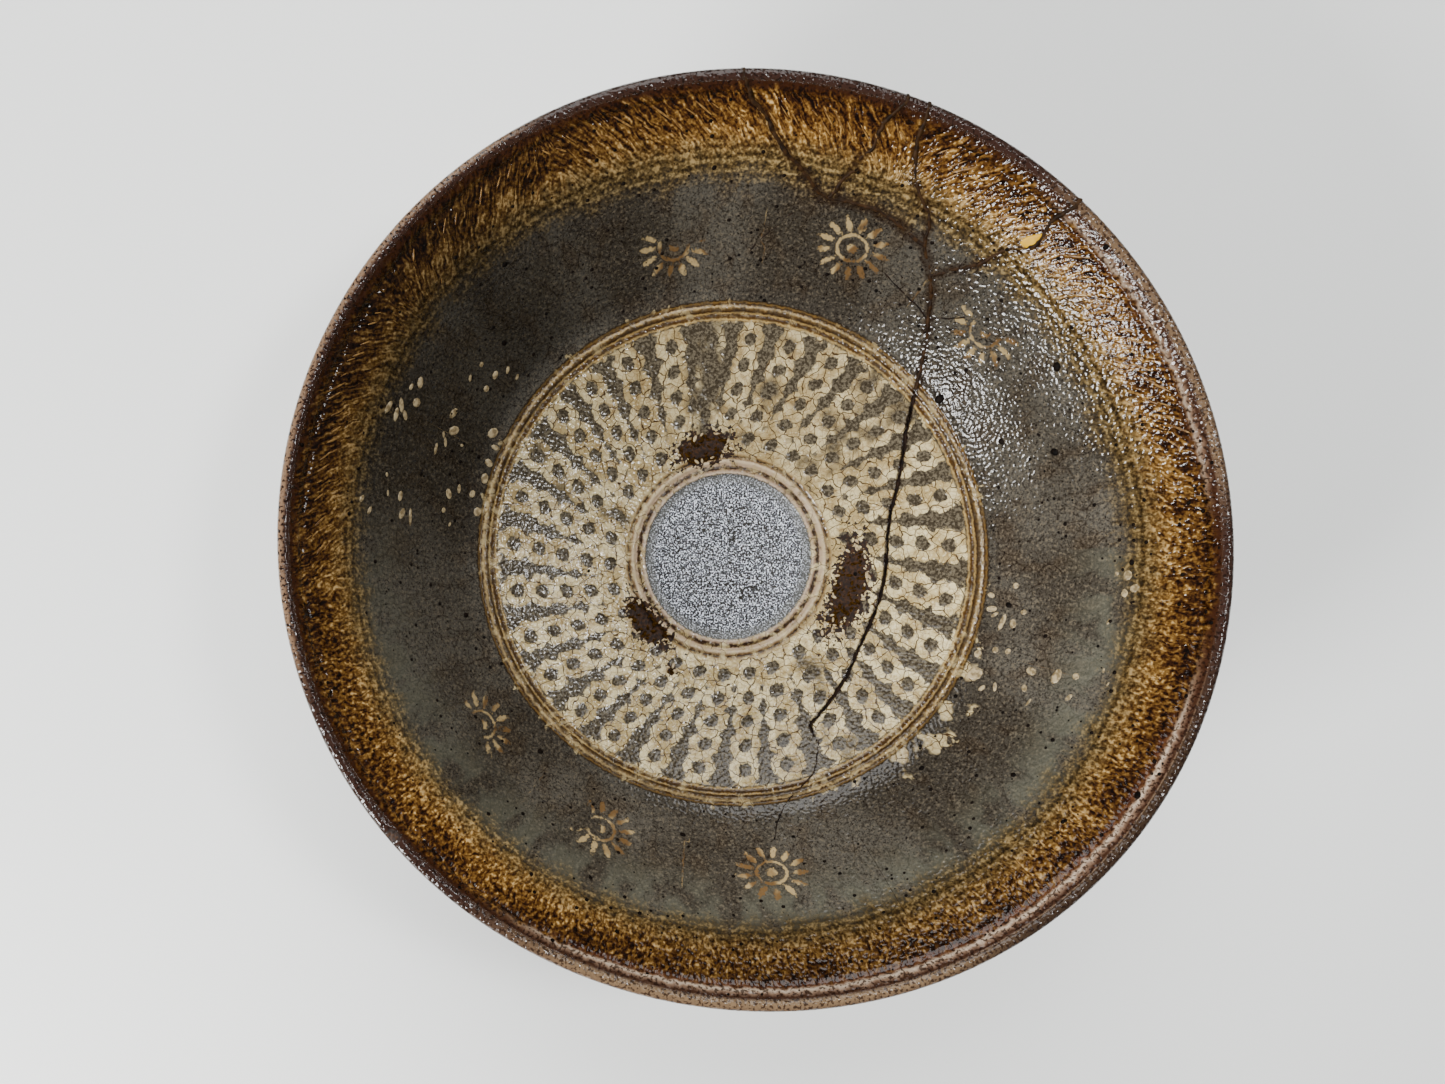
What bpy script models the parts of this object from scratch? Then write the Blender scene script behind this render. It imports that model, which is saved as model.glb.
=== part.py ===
# Stoneware bowl, turned, stamped and inlaid, cracked and glued back together.
# Lengths are in metres. Angles are in degrees around the bowl's axis, from +X towards +Y.
# The foot stands on z = 0 and the axis of the foot is the Z axis.

import math

import bmesh
import bpy
from mathutils import Matrix, Vector

MM = 0.001

# Main form
RIM_RADIUS = 0.105
BOWL_HEIGHT = 0.072
INNER_DEPTH = 0.058
LIP_RADIUS = 0.0016
WALL_AT_RIM = 0.0034
FLOOR_THICKNESS = 0.0072
TURN_STEPS = 60
ROW_STEP = 0.010

# Foot
FOOT_RADIUS = 0.031
FOOT_WIDTH = 0.0062
FOOT_EDGE = 0.0009

# Inner face, from the middle outwards
MIRROR_RADIUS = 0.0226
MIRROR_STEP = 0.0008
FIELD_RADIUS = 0.0644
FIELD_RISE = 0.012
BAND_WIDTH = 0.0134
BAND_DROP = 0.0136

# Rings incised on the wheel
GROOVE_WIDTH = 0.0013
GROOVE_DEPTH = 0.0005
MIRROR_RING_INSET = 0.0023
MIRROR_RING_PITCH = 0.0022
FIELD_RING_PITCH = 0.0024
BAND_RING_PITCH = 0.0019
LIP_GROOVE_INSET = 0.0052

# Chains of stamped rings, set by hand around the field, one angle for each chain
CHAIN_ANGLES = (
    2.5, 16, 27, 39.5, 51, 62.5, 74.5, 85, 95, 106, 118.5, 130, 140.5, 153, 164.5,
    177, 189.5, 202, 213.5, 226, 237, 249, 261, 273.5, 284.5, 300, 312, 323.5, 335.5, 348,
)
CHAIN_RINGS = 5
CHAIN_OUTER_INSET = 0.0071
CHAIN_INNER_INSET = 0.0096
CHAIN_LEAN = 6.5
DOT_RADIUS = 0.0019
DOT_DEPTH = 0.0006
DOT_SIDES = 6
PIT_LIFT = 0.0003

# Stamped flowers on the wall: distance in from the rim in mm, and angle
FLOWERS = (
    (25.1, 69.7), (24.3, 41.7), (27.4, 102.1), (17.8, 156.6), (30.4, 144.2),
    (27.7, 214.1), (26.8, 243.5), (24.7, 275.5), (23.3, 337.3),
)
FLOWER_MIDDLE = 0.0012
PETALS = 14
PETAL_LENGTH = 0.0036
PETAL_WIDTH = 0.0013
PETAL_CIRCLE = 0.0056
PETAL_DEPTH = 0.0004

# Scars of three firing wads, which held up the foot of a like bowl:
# distance out from the foot's radius in mm, angle, length around the bowl, width
WAD_SCARS = (
    (-0.5, 102, 15, 8.5),
    (3.0, 345, 24, 9.5),
    (-2.0, 220, 16, 8.0),
)
SCAR_DEPTH = 0.0005
SCAR_CORNERS = 10

# Cracks, as points on the inner face: distance in from the rim in mm, and angle
SEAM_HALF_WIDTH = 0.0007
HAIRLINE_HALF_WIDTH = 0.00035
SEAM_LIFT = 0.0001
LEFT_SEAM = (
    (18.8, 76.6), (17.5, 79.4), (14.6, 82.7), (11.7, 85.8), (8.5, 87.9), (5.7, 90.4), (3, 91.6),
)
MIDDLE_SEAM = (
    (23.1, 55.6), (19.9, 59.2), (18.5, 60.0), (15.7, 61.2), (12.2, 65.3), (8.9, 67.2), (5.2, 68.0),
    (3, 68.2),
)
RIGHT_SEAM = (
    (23.1, 55.6), (20.8, 53.6), (16.4, 50.0), (13.8, 49.2), (11.3, 48.3), (8.5, 46.8), (6.5, 47.2),
    (3, 46.7),
)
FORK_SEAM = (
    (18.8, 76.6), (15.7, 75.5), (13.6, 74.1), (9.9, 72.8), (7.4, 73.0), (3, 71.4),
)
CROSS_SEAM = (
    (18.8, 76.6), (18.4, 71.1), (18.6, 67.1), (19.9, 59.2),
)
LONG_CRACK = (
    (23.1, 55.6), (29.1, 50.6), (35.5, 45.6), (43.5, 39.7), (53.3, 28.4), (60.5, 15.1), (62.4, 6.6),
    (63.2, -15.2), (62.6, -35.2), (58.4, -53.6), (55.1, -65.0),
)
LONG_CRACK_TAIL = (
    (55.1, -65.0), (51.9, -64.0), (44.3, -68.9), (38.1, -78.7), (30.9, -82.5),
)

# Small fill in a lost corner of the right seam: middle, and outline up the wall and around it, in mm
FILL_INSET = 0.010
FILL_ANGLE = 47.3
FILL_OUTLINE = (
    (-2.2, 1.5), (-0.3, 1.5), (1.3, 0.5), (2.6, -0.6), (1.3, -1.2), (-0.5, -1.5), (-2.0, -0.4),
)
FILL_DEPTH = 0.0016
FILL_PROUD = 0.0002
FILL_GAP = 0.0003

# Chip in the lip
CHIP_ANGLE = 219.0
CHIP_RADIUS = 0.0021

# Out-of-round rim: share of the radius, waves around the rim, angle of the first crest
RIM_WARP = (
    (0.01176, 2, -27.4),
    (0.00359, 3, -41.1),
    (0.00148, 4, 39.9),
)

CLAY_COLOUR = (0.085, 0.075, 0.06, 1)
FILL_COLOUR = (0.55, 0.28, 0.015, 1)


def floor_level():
    return BOWL_HEIGHT - INNER_DEPTH


def band_radius():
    return RIM_RADIUS - BAND_WIDTH


def inner_stations():
    """Radius and height of the points that the inner face passes through."""
    slant = math.sqrt(0.5)
    return (
        (MIRROR_RADIUS, floor_level() + MIRROR_STEP),
        (FIELD_RADIUS, floor_level() + FIELD_RISE),
        (band_radius(), BOWL_HEIGHT - BAND_DROP),
        (RIM_RADIUS - LIP_RADIUS * (1 + slant), BOWL_HEIGHT - LIP_RADIUS * (1 - slant)),
    )


def chord_slope(start, end):
    return (end[1] - start[1]) / (end[0] - start[0])


def station_slopes(stations):
    """Slope at each station: nearly level in the middle, then the mean that keeps the curve rising."""
    chords = [chord_slope(a, b) for a, b in zip(stations, stations[1:])]
    middle = [2 / (1 / a + 1 / b) for a, b in zip(chords, chords[1:])]
    return [0.3 * chords[0]] + middle + [chords[-1]]


def inner_height(radius):
    """Height of the inner face, without its grooves."""
    stations = inner_stations()
    slopes = station_slopes(stations)
    spans = list(zip(stations, stations[1:], slopes, slopes[1:]))
    for start, end, slope_in, slope_out in spans:
        if radius <= end[0]:
            break
    width = end[0] - start[0]
    t = max(0.0, (radius - start[0]) / width)
    rise = (3 - 2 * t) * t * t
    return (
        (1 - rise) * start[1] + rise * end[1]
        + width * t * (1 - t) * ((1 - t) * slope_in - t * slope_out)
    )


def inner_slope(radius):
    step = 0.0002
    return (inner_height(radius + step) - inner_height(radius - step)) / (2 * step)


def wall_thickness(radius):
    share = (radius - FOOT_RADIUS) / (RIM_RADIUS - FOOT_RADIUS)
    return FLOOR_THICKNESS + (WALL_AT_RIM - FLOOR_THICKNESS) * min(1.0, max(0.0, share))


def outer_point(radius):
    """The point across the wall from the inner face at this radius."""
    angle = math.atan(inner_slope(radius))
    thick = wall_thickness(radius)
    return (radius + thick * math.sin(angle), inner_height(radius) - thick * math.cos(angle))


def groove_radii():
    return (
        MIRROR_RADIUS + MIRROR_RING_INSET,
        MIRROR_RADIUS + MIRROR_RING_INSET + MIRROR_RING_PITCH,
        FIELD_RADIUS - FIELD_RING_PITCH / 2,
        FIELD_RADIUS + FIELD_RING_PITCH / 2,
        band_radius() - BAND_RING_PITCH / 2,
        band_radius() + BAND_RING_PITCH / 2,
        RIM_RADIUS - LIP_GROOVE_INSET,
    )


def inner_rows():
    """Profile of the inner face from the axis to the lip, with its incised rings."""
    rows = [(0.0, floor_level()), (MIRROR_RADIUS - MIRROR_STEP, floor_level())]
    rows.append((MIRROR_RADIUS, floor_level() + MIRROR_STEP))
    last = MIRROR_RADIUS
    for middle in groove_radii():
        near = middle - GROOVE_WIDTH / 2
        far = middle + GROOVE_WIDTH / 2
        spans = math.ceil((near - last) / ROW_STEP)
        for i in range(1, spans):
            radius = last + (near - last) * i / spans
            rows.append((radius, inner_height(radius)))
        rows.append((near, inner_height(near)))
        rows.append((middle, inner_height(middle) - GROOVE_DEPTH))
        rows.append((far, inner_height(far)))
        last = far
    return rows


def lip_rows():
    """The rounded lip, from the inner face over the top to the outer face."""
    rows = []
    for degrees in (135, 95, 55, 15, -30):
        turn = math.radians(degrees)
        radius = RIM_RADIUS - LIP_RADIUS + LIP_RADIUS * math.cos(turn)
        rows.append((radius, BOWL_HEIGHT - LIP_RADIUS + LIP_RADIUS * math.sin(turn)))
    return rows


def outer_rows():
    """The outer wall from under the lip down to the foot."""
    top = RIM_RADIUS - LIP_GROOVE_INSET
    low = FOOT_RADIUS + 3 * FOOT_EDGE
    spans = math.ceil((top - low) / ROW_STEP)
    return [outer_point(top + (low - top) * i / spans) for i in range(spans + 1)]


def foot_rows(wall_end):
    """The turned foot ring and the recess inside it."""
    recess = floor_level() - FLOOR_THICKNESS
    inside = FOOT_RADIUS - FOOT_WIDTH
    return [
        (FOOT_RADIUS + FOOT_EDGE, wall_end - FOOT_EDGE),
        (FOOT_RADIUS, wall_end - 2 * FOOT_EDGE),
        (FOOT_RADIUS, FOOT_EDGE),
        (FOOT_RADIUS - FOOT_EDGE, 0.0),
        (inside + FOOT_EDGE, 0.0),
        (inside, FOOT_EDGE),
        (inside - FOOT_EDGE, recess),
        (0.0, recess),
    ]


def turned_body(collection):
    """The bowl as it came off the wheel."""
    rows = inner_rows() + lip_rows() + outer_rows()
    rows += foot_rows(rows[-1][1])
    mesh = bpy.data.meshes.new("bowl_profile")
    edges = [(i, i + 1) for i in range(len(rows) - 1)]
    mesh.from_pydata([(radius, 0, height) for radius, height in rows], edges, [])
    profile = bpy.data.objects.new("bowl_profile", mesh)
    collection.objects.link(profile)
    screw = profile.modifiers.new("turn", "SCREW")
    screw.axis = "Z"
    screw.steps = TURN_STEPS
    screw.render_steps = TURN_STEPS
    screw.use_merge_vertices = True
    screw.merge_threshold = 0.00005
    turned = evaluated_mesh(profile)
    bpy.data.objects.remove(profile)
    turned.name = "bowl"
    body = bpy.data.objects.new("bowl", turned)
    collection.objects.link(body)
    return body


def evaluated_mesh(item):
    graph = bpy.context.evaluated_depsgraph_get()
    return bpy.data.meshes.new_from_object(item.evaluated_get(graph))


def rim_warp(x, y):
    """Push a point in or out with the rim's uneven outline, fading to nothing at the foot."""
    radius = math.hypot(x, y)
    if radius <= FOOT_RADIUS:
        return x, y
    angle = math.atan2(y, x)
    t = min(1.0, (radius - FOOT_RADIUS) / (RIM_RADIUS - FOOT_RADIUS))
    waves = sum(size * math.cos(count * (angle - math.radians(crest))) for size, count, crest in RIM_WARP)
    scale = 1 + RIM_RADIUS * waves * t * t * (3 - 2 * t) / radius
    return x * scale, y * scale


def warp_object(item, middle):
    """Warp an object's vertices and set the bowl's outline centrally over the origin."""
    for vertex in item.data.vertices:
        x, y = rim_warp(vertex.co.x, vertex.co.y)
        vertex.co.x = x - middle[0]
        vertex.co.y = y - middle[1]


def outline_middle(item):
    spots = [rim_warp(vertex.co.x, vertex.co.y) for vertex in item.data.vertices]
    spans = [(min(values), max(values)) for values in zip(*spots)]
    return [(low + high) / 2 for low, high in spans]


def face_frame(radius, degrees):
    """Matrix of the inner face: X up the wall, Y around the bowl, Z out of the clay."""
    turn = Matrix.Rotation(math.radians(degrees), 4, "Z")
    tilt = Matrix.Rotation(-math.atan(inner_slope(radius)), 4, "Y")
    return turn @ Matrix.Translation((radius, 0, inner_height(radius))) @ tilt


def add_pit(cutter, place, sides, half_size, depth, ragged=0.0):
    """Add a pointed or flat pit to a cutter mesh, its mouth above the face and its end below."""
    pointed = ragged == 0
    shape = bmesh.ops.create_cone(
        cutter, cap_ends=True, segments=sides, radius1=0.0 if pointed else 0.85, radius2=1.0,
        depth=depth + PIT_LIFT,
    )
    spread = (depth + PIT_LIFT) / depth if pointed else 1.0
    for vertex in shape["verts"]:
        turn = math.atan2(vertex.co.y, vertex.co.x)
        uneven = 1 + ragged * math.sin(5.3 * turn + 40 * half_size[0]) * math.cos(3 * turn)
        vertex.co.x *= half_size[0] * spread * uneven
        vertex.co.y *= half_size[1] * spread * uneven
        vertex.co.z += (PIT_LIFT - depth) / 2
        vertex.co = place @ vertex.co


def cutter_from_bmesh(name, shape, collection):
    bmesh.ops.recalc_face_normals(shape, faces=shape.faces[:])
    mesh = bpy.data.meshes.new(name)
    shape.to_mesh(mesh)
    shape.free()
    item = bpy.data.objects.new(name, mesh)
    collection.objects.link(item)
    return item


def stamp_cutter(collection):
    """Dots of the stamped ring chains."""
    shape = bmesh.new()
    outer = FIELD_RADIUS - CHAIN_OUTER_INSET
    inner = MIRROR_RADIUS + CHAIN_INNER_INSET
    for angle in CHAIN_ANGLES:
        for i in range(CHAIN_RINGS):
            inward = i / (CHAIN_RINGS - 1)
            radius = outer + (inner - outer) * inward
            place = face_frame(radius, angle + CHAIN_LEAN * inward ** 1.3)
            add_pit(shape, place, DOT_SIDES, (DOT_RADIUS, DOT_RADIUS), DOT_DEPTH)
    return cutter_from_bmesh("stamp_cutter", shape, collection)


def flower_cutter(collection):
    """Petals and middles of the stamped flowers."""
    shape = bmesh.new()
    for inset, angle in FLOWERS:
        middle = RIM_RADIUS - inset * MM
        slant = math.cos(math.atan(inner_slope(middle)))
        centre = face_frame(middle, angle)
        add_pit(shape, centre, DOT_SIDES, (FLOWER_MIDDLE, FLOWER_MIDDLE), PETAL_DEPTH)
        for i in range(PETALS):
            turn = math.tau * i / PETALS
            up = PETAL_CIRCLE * math.cos(turn) * slant
            around = math.degrees(PETAL_CIRCLE * math.sin(turn) / middle)
            place = face_frame(middle + up, angle + around) @ Matrix.Rotation(turn, 4, "Z")
            add_pit(shape, place, 4, (PETAL_LENGTH / 2, PETAL_WIDTH / 2), PETAL_DEPTH)
    return cutter_from_bmesh("flower_cutter", shape, collection)


def scar_cutter(collection):
    """Shallow ragged scars where three clay wads held the next bowl in the kiln."""
    shape = bmesh.new()
    for outset, angle, length, width in WAD_SCARS:
        place = face_frame(FOOT_RADIUS + outset * MM, angle)
        half_size = (width * MM / 2, length * MM / 2)
        add_pit(shape, place, SCAR_CORNERS, half_size, SCAR_DEPTH, ragged=0.22)
    return cutter_from_bmesh("scar_cutter", shape, collection)


def inner_spot(inset, degrees, lift):
    return face_frame(RIM_RADIUS - inset * MM, degrees) @ Vector((0, 0, lift))


def outer_spot(inset, degrees, lift):
    radius = RIM_RADIUS - inset * MM
    return face_frame(radius, degrees) @ Vector((0, 0, -wall_thickness(radius) - lift))


def lip_spots(degrees, lift):
    """Way over the lip at one angle, from the inner face to the outer one."""
    turn = Matrix.Rotation(math.radians(degrees), 4, "Z")
    spots = []
    for tilt in (110, 45, -20):
        reach = LIP_RADIUS + lift
        across = RIM_RADIUS - LIP_RADIUS + reach * math.cos(math.radians(tilt))
        up = BOWL_HEIGHT - LIP_RADIUS + reach * math.sin(math.radians(tilt))
        spots.append(turn @ Vector((across, 0, up)))
    return spots


def seam_cutter(name, spots, half_width, collection):
    """A thin four-sided rod laid along a crack, which leaves a V-shaped seam."""
    curve = bpy.data.curves.new(name, "CURVE")
    curve.dimensions = "3D"
    curve.bevel_depth = half_width
    curve.bevel_resolution = 0
    curve.use_fill_caps = True
    line = curve.splines.new("POLY")
    line.points.add(len(spots) - 1)
    for point, spot in zip(line.points, spots):
        point.co = (*spot, 1)
    rod = bpy.data.objects.new(name, curve)
    collection.objects.link(rod)
    mesh = evaluated_mesh(rod)
    bpy.data.objects.remove(rod)
    shape = bmesh.new()
    shape.from_mesh(mesh)
    bmesh.ops.remove_doubles(shape, verts=shape.verts[:], dist=0.00001)
    return cutter_from_bmesh(name, shape, collection)


def rim_seam(name, route, collection):
    """A seam that starts inside, runs up over the lip and down the same way outside."""
    lift = SEAM_LIFT
    inside = [inner_spot(inset, angle, lift) for inset, angle in route]
    outside = [outer_spot(inset, angle, lift) for inset, angle in route[:-1]]
    spots = inside + lip_spots(route[-1][1], lift) + outside[::-1]
    return seam_cutter(name, spots, SEAM_HALF_WIDTH, collection)


def face_seam(name, route, half_width, spot, collection):
    spots = [spot(inset, angle, SEAM_LIFT) for inset, angle in route]
    return seam_cutter(name, spots, half_width, collection)


def crack_cutters(collection):
    hairline = HAIRLINE_HALF_WIDTH
    return [
        rim_seam("left_seam", LEFT_SEAM, collection),
        rim_seam("fork_seam", FORK_SEAM, collection),
        rim_seam("middle_seam", MIDDLE_SEAM, collection),
        rim_seam("right_seam", RIGHT_SEAM, collection),
        face_seam("cross_seam", CROSS_SEAM, SEAM_HALF_WIDTH, inner_spot, collection),
        face_seam("cross_seam_outside", CROSS_SEAM, SEAM_HALF_WIDTH, outer_spot, collection),
        face_seam("long_crack", LONG_CRACK, SEAM_HALF_WIDTH, inner_spot, collection),
        face_seam("long_crack_tail", LONG_CRACK_TAIL, hairline, inner_spot, collection),
    ]


def chip_cutter(collection):
    """A small bite out of the lip."""
    shape = bmesh.new()
    bmesh.ops.create_icosphere(shape, subdivisions=1, radius=CHIP_RADIUS)
    turn = Matrix.Rotation(math.radians(CHIP_ANGLE), 4, "Z")
    place = Matrix.Translation((RIM_RADIUS - LIP_RADIUS, 0, BOWL_HEIGHT + CHIP_RADIUS / 3))
    shape.transform(turn @ place)
    return cutter_from_bmesh("chip_cutter", shape, collection)


def fill_block(name, grow, low, high, collection):
    """The fill's outline as a block between two depths in the wall, grown all around."""
    curve = bpy.data.curves.new(name, "CURVE")
    curve.dimensions = "2D"
    curve.fill_mode = "BOTH"
    curve.extrude = (high - low) / 2
    curve.offset = grow
    line = curve.splines.new("POLY")
    line.points.add(len(FILL_OUTLINE) - 1)
    line.use_cyclic_u = True
    for point, (up, around) in zip(line.points, FILL_OUTLINE):
        point.co = (up * MM, around * MM, 0, 1)
    outline = bpy.data.objects.new(name, curve)
    collection.objects.link(outline)
    mesh = evaluated_mesh(outline)
    bpy.data.objects.remove(outline)
    shape = bmesh.new()
    shape.from_mesh(mesh)
    bmesh.ops.remove_doubles(shape, verts=shape.verts[:], dist=0.00001)
    place = face_frame(RIM_RADIUS - FILL_INSET, FILL_ANGLE) @ Matrix.Translation((0, 0, (high + low) / 2))
    shape.transform(place)
    return cutter_from_bmesh(name, shape, collection)


def add_cut(body, cutter):
    cut = body.modifiers.new(cutter.name, "BOOLEAN")
    cut.operation = "DIFFERENCE"
    cut.object = cutter
    cutter.hide_render = True
    cutter.display_type = "WIRE"


def give_finish(item, name, colour, roughness):
    material = bpy.data.materials.new(name)
    material.use_nodes = True
    shader = material.node_tree.nodes["Principled BSDF"]
    shader.inputs["Base Color"].default_value = colour
    shader.inputs["Roughness"].default_value = roughness
    shader.inputs["Metallic"].default_value = 0
    item.data.materials.clear()
    item.data.materials.append(material)
    item.data.shade_smooth()
    item.data.set_sharp_from_angle(angle=math.radians(35))


def clear_scene():
    for item in list(bpy.data.objects):
        bpy.data.objects.remove(item)


def new_collection(name):
    collection = bpy.data.collections.new(name)
    bpy.context.scene.collection.children.link(collection)
    return collection


def build():
    clear_scene()
    pieces = new_collection("cracked_bowl")
    cutters = new_collection("cutters")

    bowl = turned_body(pieces)
    middle = outline_middle(bowl)
    pocket = fill_block("fill_pocket", FILL_GAP, -FILL_DEPTH - FILL_GAP, FILL_DEPTH, cutters)
    cuts = [stamp_cutter(cutters), flower_cutter(cutters), scar_cutter(cutters)]
    cuts += crack_cutters(cutters)
    cuts += [chip_cutter(cutters), pocket]
    fill = fill_block("yellow_fill", 0.0, -FILL_DEPTH, FILL_PROUD, pieces)

    for item in [bowl, fill] + cuts:
        warp_object(item, middle)
    give_finish(bowl, "glazed_stoneware", CLAY_COLOUR, 0.35)
    give_finish(fill, "yellow_filler", FILL_COLOUR, 0.45)
    for cutter in cuts:
        add_cut(bowl, cutter)


build()
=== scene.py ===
import math
from functools import partial, reduce
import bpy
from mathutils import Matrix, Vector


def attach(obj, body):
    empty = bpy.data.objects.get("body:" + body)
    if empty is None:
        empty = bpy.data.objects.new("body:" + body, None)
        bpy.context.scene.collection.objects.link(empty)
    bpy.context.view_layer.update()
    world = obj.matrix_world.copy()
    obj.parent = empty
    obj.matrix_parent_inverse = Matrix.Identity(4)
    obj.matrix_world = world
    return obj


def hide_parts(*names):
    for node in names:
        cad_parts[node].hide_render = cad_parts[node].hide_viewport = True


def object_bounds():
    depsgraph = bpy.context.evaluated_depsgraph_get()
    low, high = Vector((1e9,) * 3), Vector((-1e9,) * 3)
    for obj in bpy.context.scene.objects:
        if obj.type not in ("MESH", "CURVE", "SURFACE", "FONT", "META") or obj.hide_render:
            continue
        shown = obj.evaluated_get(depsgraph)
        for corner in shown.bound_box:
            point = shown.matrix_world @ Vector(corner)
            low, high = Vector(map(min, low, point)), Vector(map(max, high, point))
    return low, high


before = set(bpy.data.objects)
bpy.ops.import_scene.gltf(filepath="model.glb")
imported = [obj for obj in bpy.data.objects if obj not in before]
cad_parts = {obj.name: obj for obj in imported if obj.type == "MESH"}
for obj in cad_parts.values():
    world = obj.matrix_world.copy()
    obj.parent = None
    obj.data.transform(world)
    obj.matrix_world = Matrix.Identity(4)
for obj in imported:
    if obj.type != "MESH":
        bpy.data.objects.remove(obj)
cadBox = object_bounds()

from types import SimpleNamespace

import bmesh
import bpy
import numpy as np
from mathutils import Matrix, Vector

# A turned stoneware bowl with stamped and inlaid slip, cracked and glued with brown lacquer.
# Shapes are worked out in millimetres around the bowl's own axis, with the table at 0, and
# go into the meshes in metres. Angles are in degrees from +X towards +Y.

mm = 0.001

photoView = {
    "pixels": (1445, 1084),
    "plumbPixel": (608.7, 622.2),  # the spot that the lens looks straight down on
    "focalPixels": 1085.0,
    "lensAt": (-32.5, -17.8, 309.7),
}

bowlForm = {
    "rimRadius": 105.0, "height": 72.0, "innerDepth": 58.0,
    "lipRadius": 1.6, "lipSlack": 0.14, "wallAtRim": 3.4, "floorThickness": 7.2,
    "footRadius": 31.0, "footWidth": 6.2, "footEdge": 0.9,
    "mirrorRadius": 22.6, "mirrorStep": 0.8,
    "fieldRadius": 64.4, "fieldRise": 12.0,
    "bandWidth": 13.4, "bandDrop": 13.6,
    "lipGrooveInset": 5.2,
    "rimWaves": ((0.01176, 2, -27.4), (0.00359, 3, -41.1), (0.00148, 4, 39.9)),
    "warpSteps": 60,
}

rim, foot, lip, mirror, field = (
    bowlForm[name + "Radius"] for name in ("rim", "foot", "lip", "mirror", "field")
)
top = bowlForm["height"]
floorLevel = top - bowlForm["innerDepth"]
bandRadius = rim - bowlForm["bandWidth"]


# Wall shape

def wallStations():
    slant = math.sqrt(0.5)
    spots = [
        (mirror, floorLevel + bowlForm["mirrorStep"]),
        (field, floorLevel + bowlForm["fieldRise"]),
        (bandRadius, top - bowlForm["bandDrop"]),
        (rim - lip * (1 + slant), top - lip * (1 - slant)),
    ]
    across, up = np.array(spots).T
    chords = np.diff(up) / np.diff(across)
    slopes = np.array([0.3 * chords[0], *(2 / (1 / chords[:-1] + 1 / chords[1:])), chords[-1]])
    return across, up, slopes


stationAcross, stationUp, stationSlopes = wallStations()


def wallHeight(radius):
    radius = np.asarray(radius, float)
    i = np.clip(np.searchsorted(stationAcross, radius) - 1, 0, 2)
    width = stationAcross[i + 1] - stationAcross[i]
    t = np.maximum(0, (radius - stationAcross[i]) / width)
    rise = (3 - 2 * t) * t * t
    bend = (1 - t) * stationSlopes[i] - t * stationSlopes[i + 1]
    return (1 - rise) * stationUp[i] + rise * stationUp[i + 1] + width * t * (1 - t) * bend


def wallTilt(radius):
    return np.arctan((wallHeight(radius + 0.2) - wallHeight(radius - 0.2)) / 0.4)


def wallThickness(radius):
    share = (radius - foot) / (rim - foot)
    thin = bowlForm["wallAtRim"] - bowlForm["floorThickness"]
    return bowlForm["floorThickness"] + thin * np.clip(share, 0, 1)


def rimWarp(x, y):
    radius = np.hypot(x, y)
    angle = np.arctan2(y, x)
    t = np.clip((radius - foot) / (rim - foot), 0, 1)
    waves = sum(size * np.cos(n * (angle - math.radians(crest))) for size, n, crest in bowlForm["rimWaves"])
    scale = 1 + rim * waves * t * t * (3 - 2 * t) / np.maximum(radius, 1e-6)
    return x * scale, y * scale


def outlineMiddle():
    turns = np.arange(bowlForm["warpSteps"]) * 2 * math.pi / bowlForm["warpSteps"]
    reach = rim - lip * (1 - math.cos(math.radians(15)))
    x, y = rimWarp(reach * np.cos(turns), reach * np.sin(turns))
    return (x.max() + x.min()) / 2, (y.max() + y.min()) / 2


middleX, middleY = outlineMiddle()


def placed(points):  # from the bowl's own round form to its uneven one, centred
    points = np.asarray(points, float)
    x, y = rimWarp(points[..., 0], points[..., 1])
    return np.stack([x - middleX, y - middleY, points[..., 2]], axis=-1)


def polarPoint(across, degrees, up):
    turn = np.radians(degrees)
    return np.stack([across * np.cos(turn), across * np.sin(turn), up], axis=-1)


def wallPoint(radius, degrees, lift=0.0):
    radius = np.asarray(radius, float)
    tilt = wallTilt(radius)
    return polarPoint(radius - lift * np.sin(tilt), degrees, wallHeight(radius) + lift * np.cos(tilt))


def smoothStep(low, high, value):
    t = np.clip((value - low) / (high - low), 0, 1)
    return t * t * (3 - 2 * t)


def turnFrom(degrees, start):  # -180 to 180
    return (degrees - start + 180) % 360 - 180


def spotsOf(mesh):
    spots = np.empty(len(mesh.vertices) * 3)
    mesh.vertices.foreach_get("co", spots)
    return spots.reshape(-1, 3)


def moveSpots(mesh, spots):
    mesh.vertices.foreach_set("co", spots.ravel())
    mesh.update()


# Node helpers, for shaders and geometry alike

def addNode(tree, kind, inputs=None, **settings):
    node = tree.nodes.new(kind)
    for name, value in settings.items():
        setattr(node, name, value)
    for socket, value in (inputs or {}).items():
        if isinstance(value, bpy.types.NodeSocket):
            tree.links.new(value, node.inputs[socket])
        else:
            node.inputs[socket].default_value = value
    return node


def joinNode(kind, inputs, **settings):  # a node in the tree that its inputs come from
    tree = next(value.id_data for value in inputs.values() if isinstance(value, bpy.types.NodeSocket))
    return addNode(tree, kind, inputs, **settings)


def calc(operation, *values):
    return joinNode("ShaderNodeMath", dict(enumerate(values)), operation=operation).outputs[0]


def add(*values):
    return reduce(partial(calc, "ADD"), values)


def times(*values):
    return reduce(partial(calc, "MULTIPLY"), values)


def largest(*values):
    return reduce(partial(calc, "MAXIMUM"), values)


def minus(first, second):
    return calc("SUBTRACT", first, second)


def away(value, middle):  # how far a value is from the middle, either way
    return calc("ABSOLUTE", minus(value, middle))


def distance(first, second):
    return calc("SQRT", add(times(first, first), times(second, second)))


def fromNearest(value):  # from the nearest whole number, -0.5 to 0.5
    return minus(calc("FRACT", add(value, 0.5)), 0.5)


def vectorCalc(operation, first, second):
    return joinNode("ShaderNodeVectorMath", {0: first, 1: second}, operation=operation).outputs[0]


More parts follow.
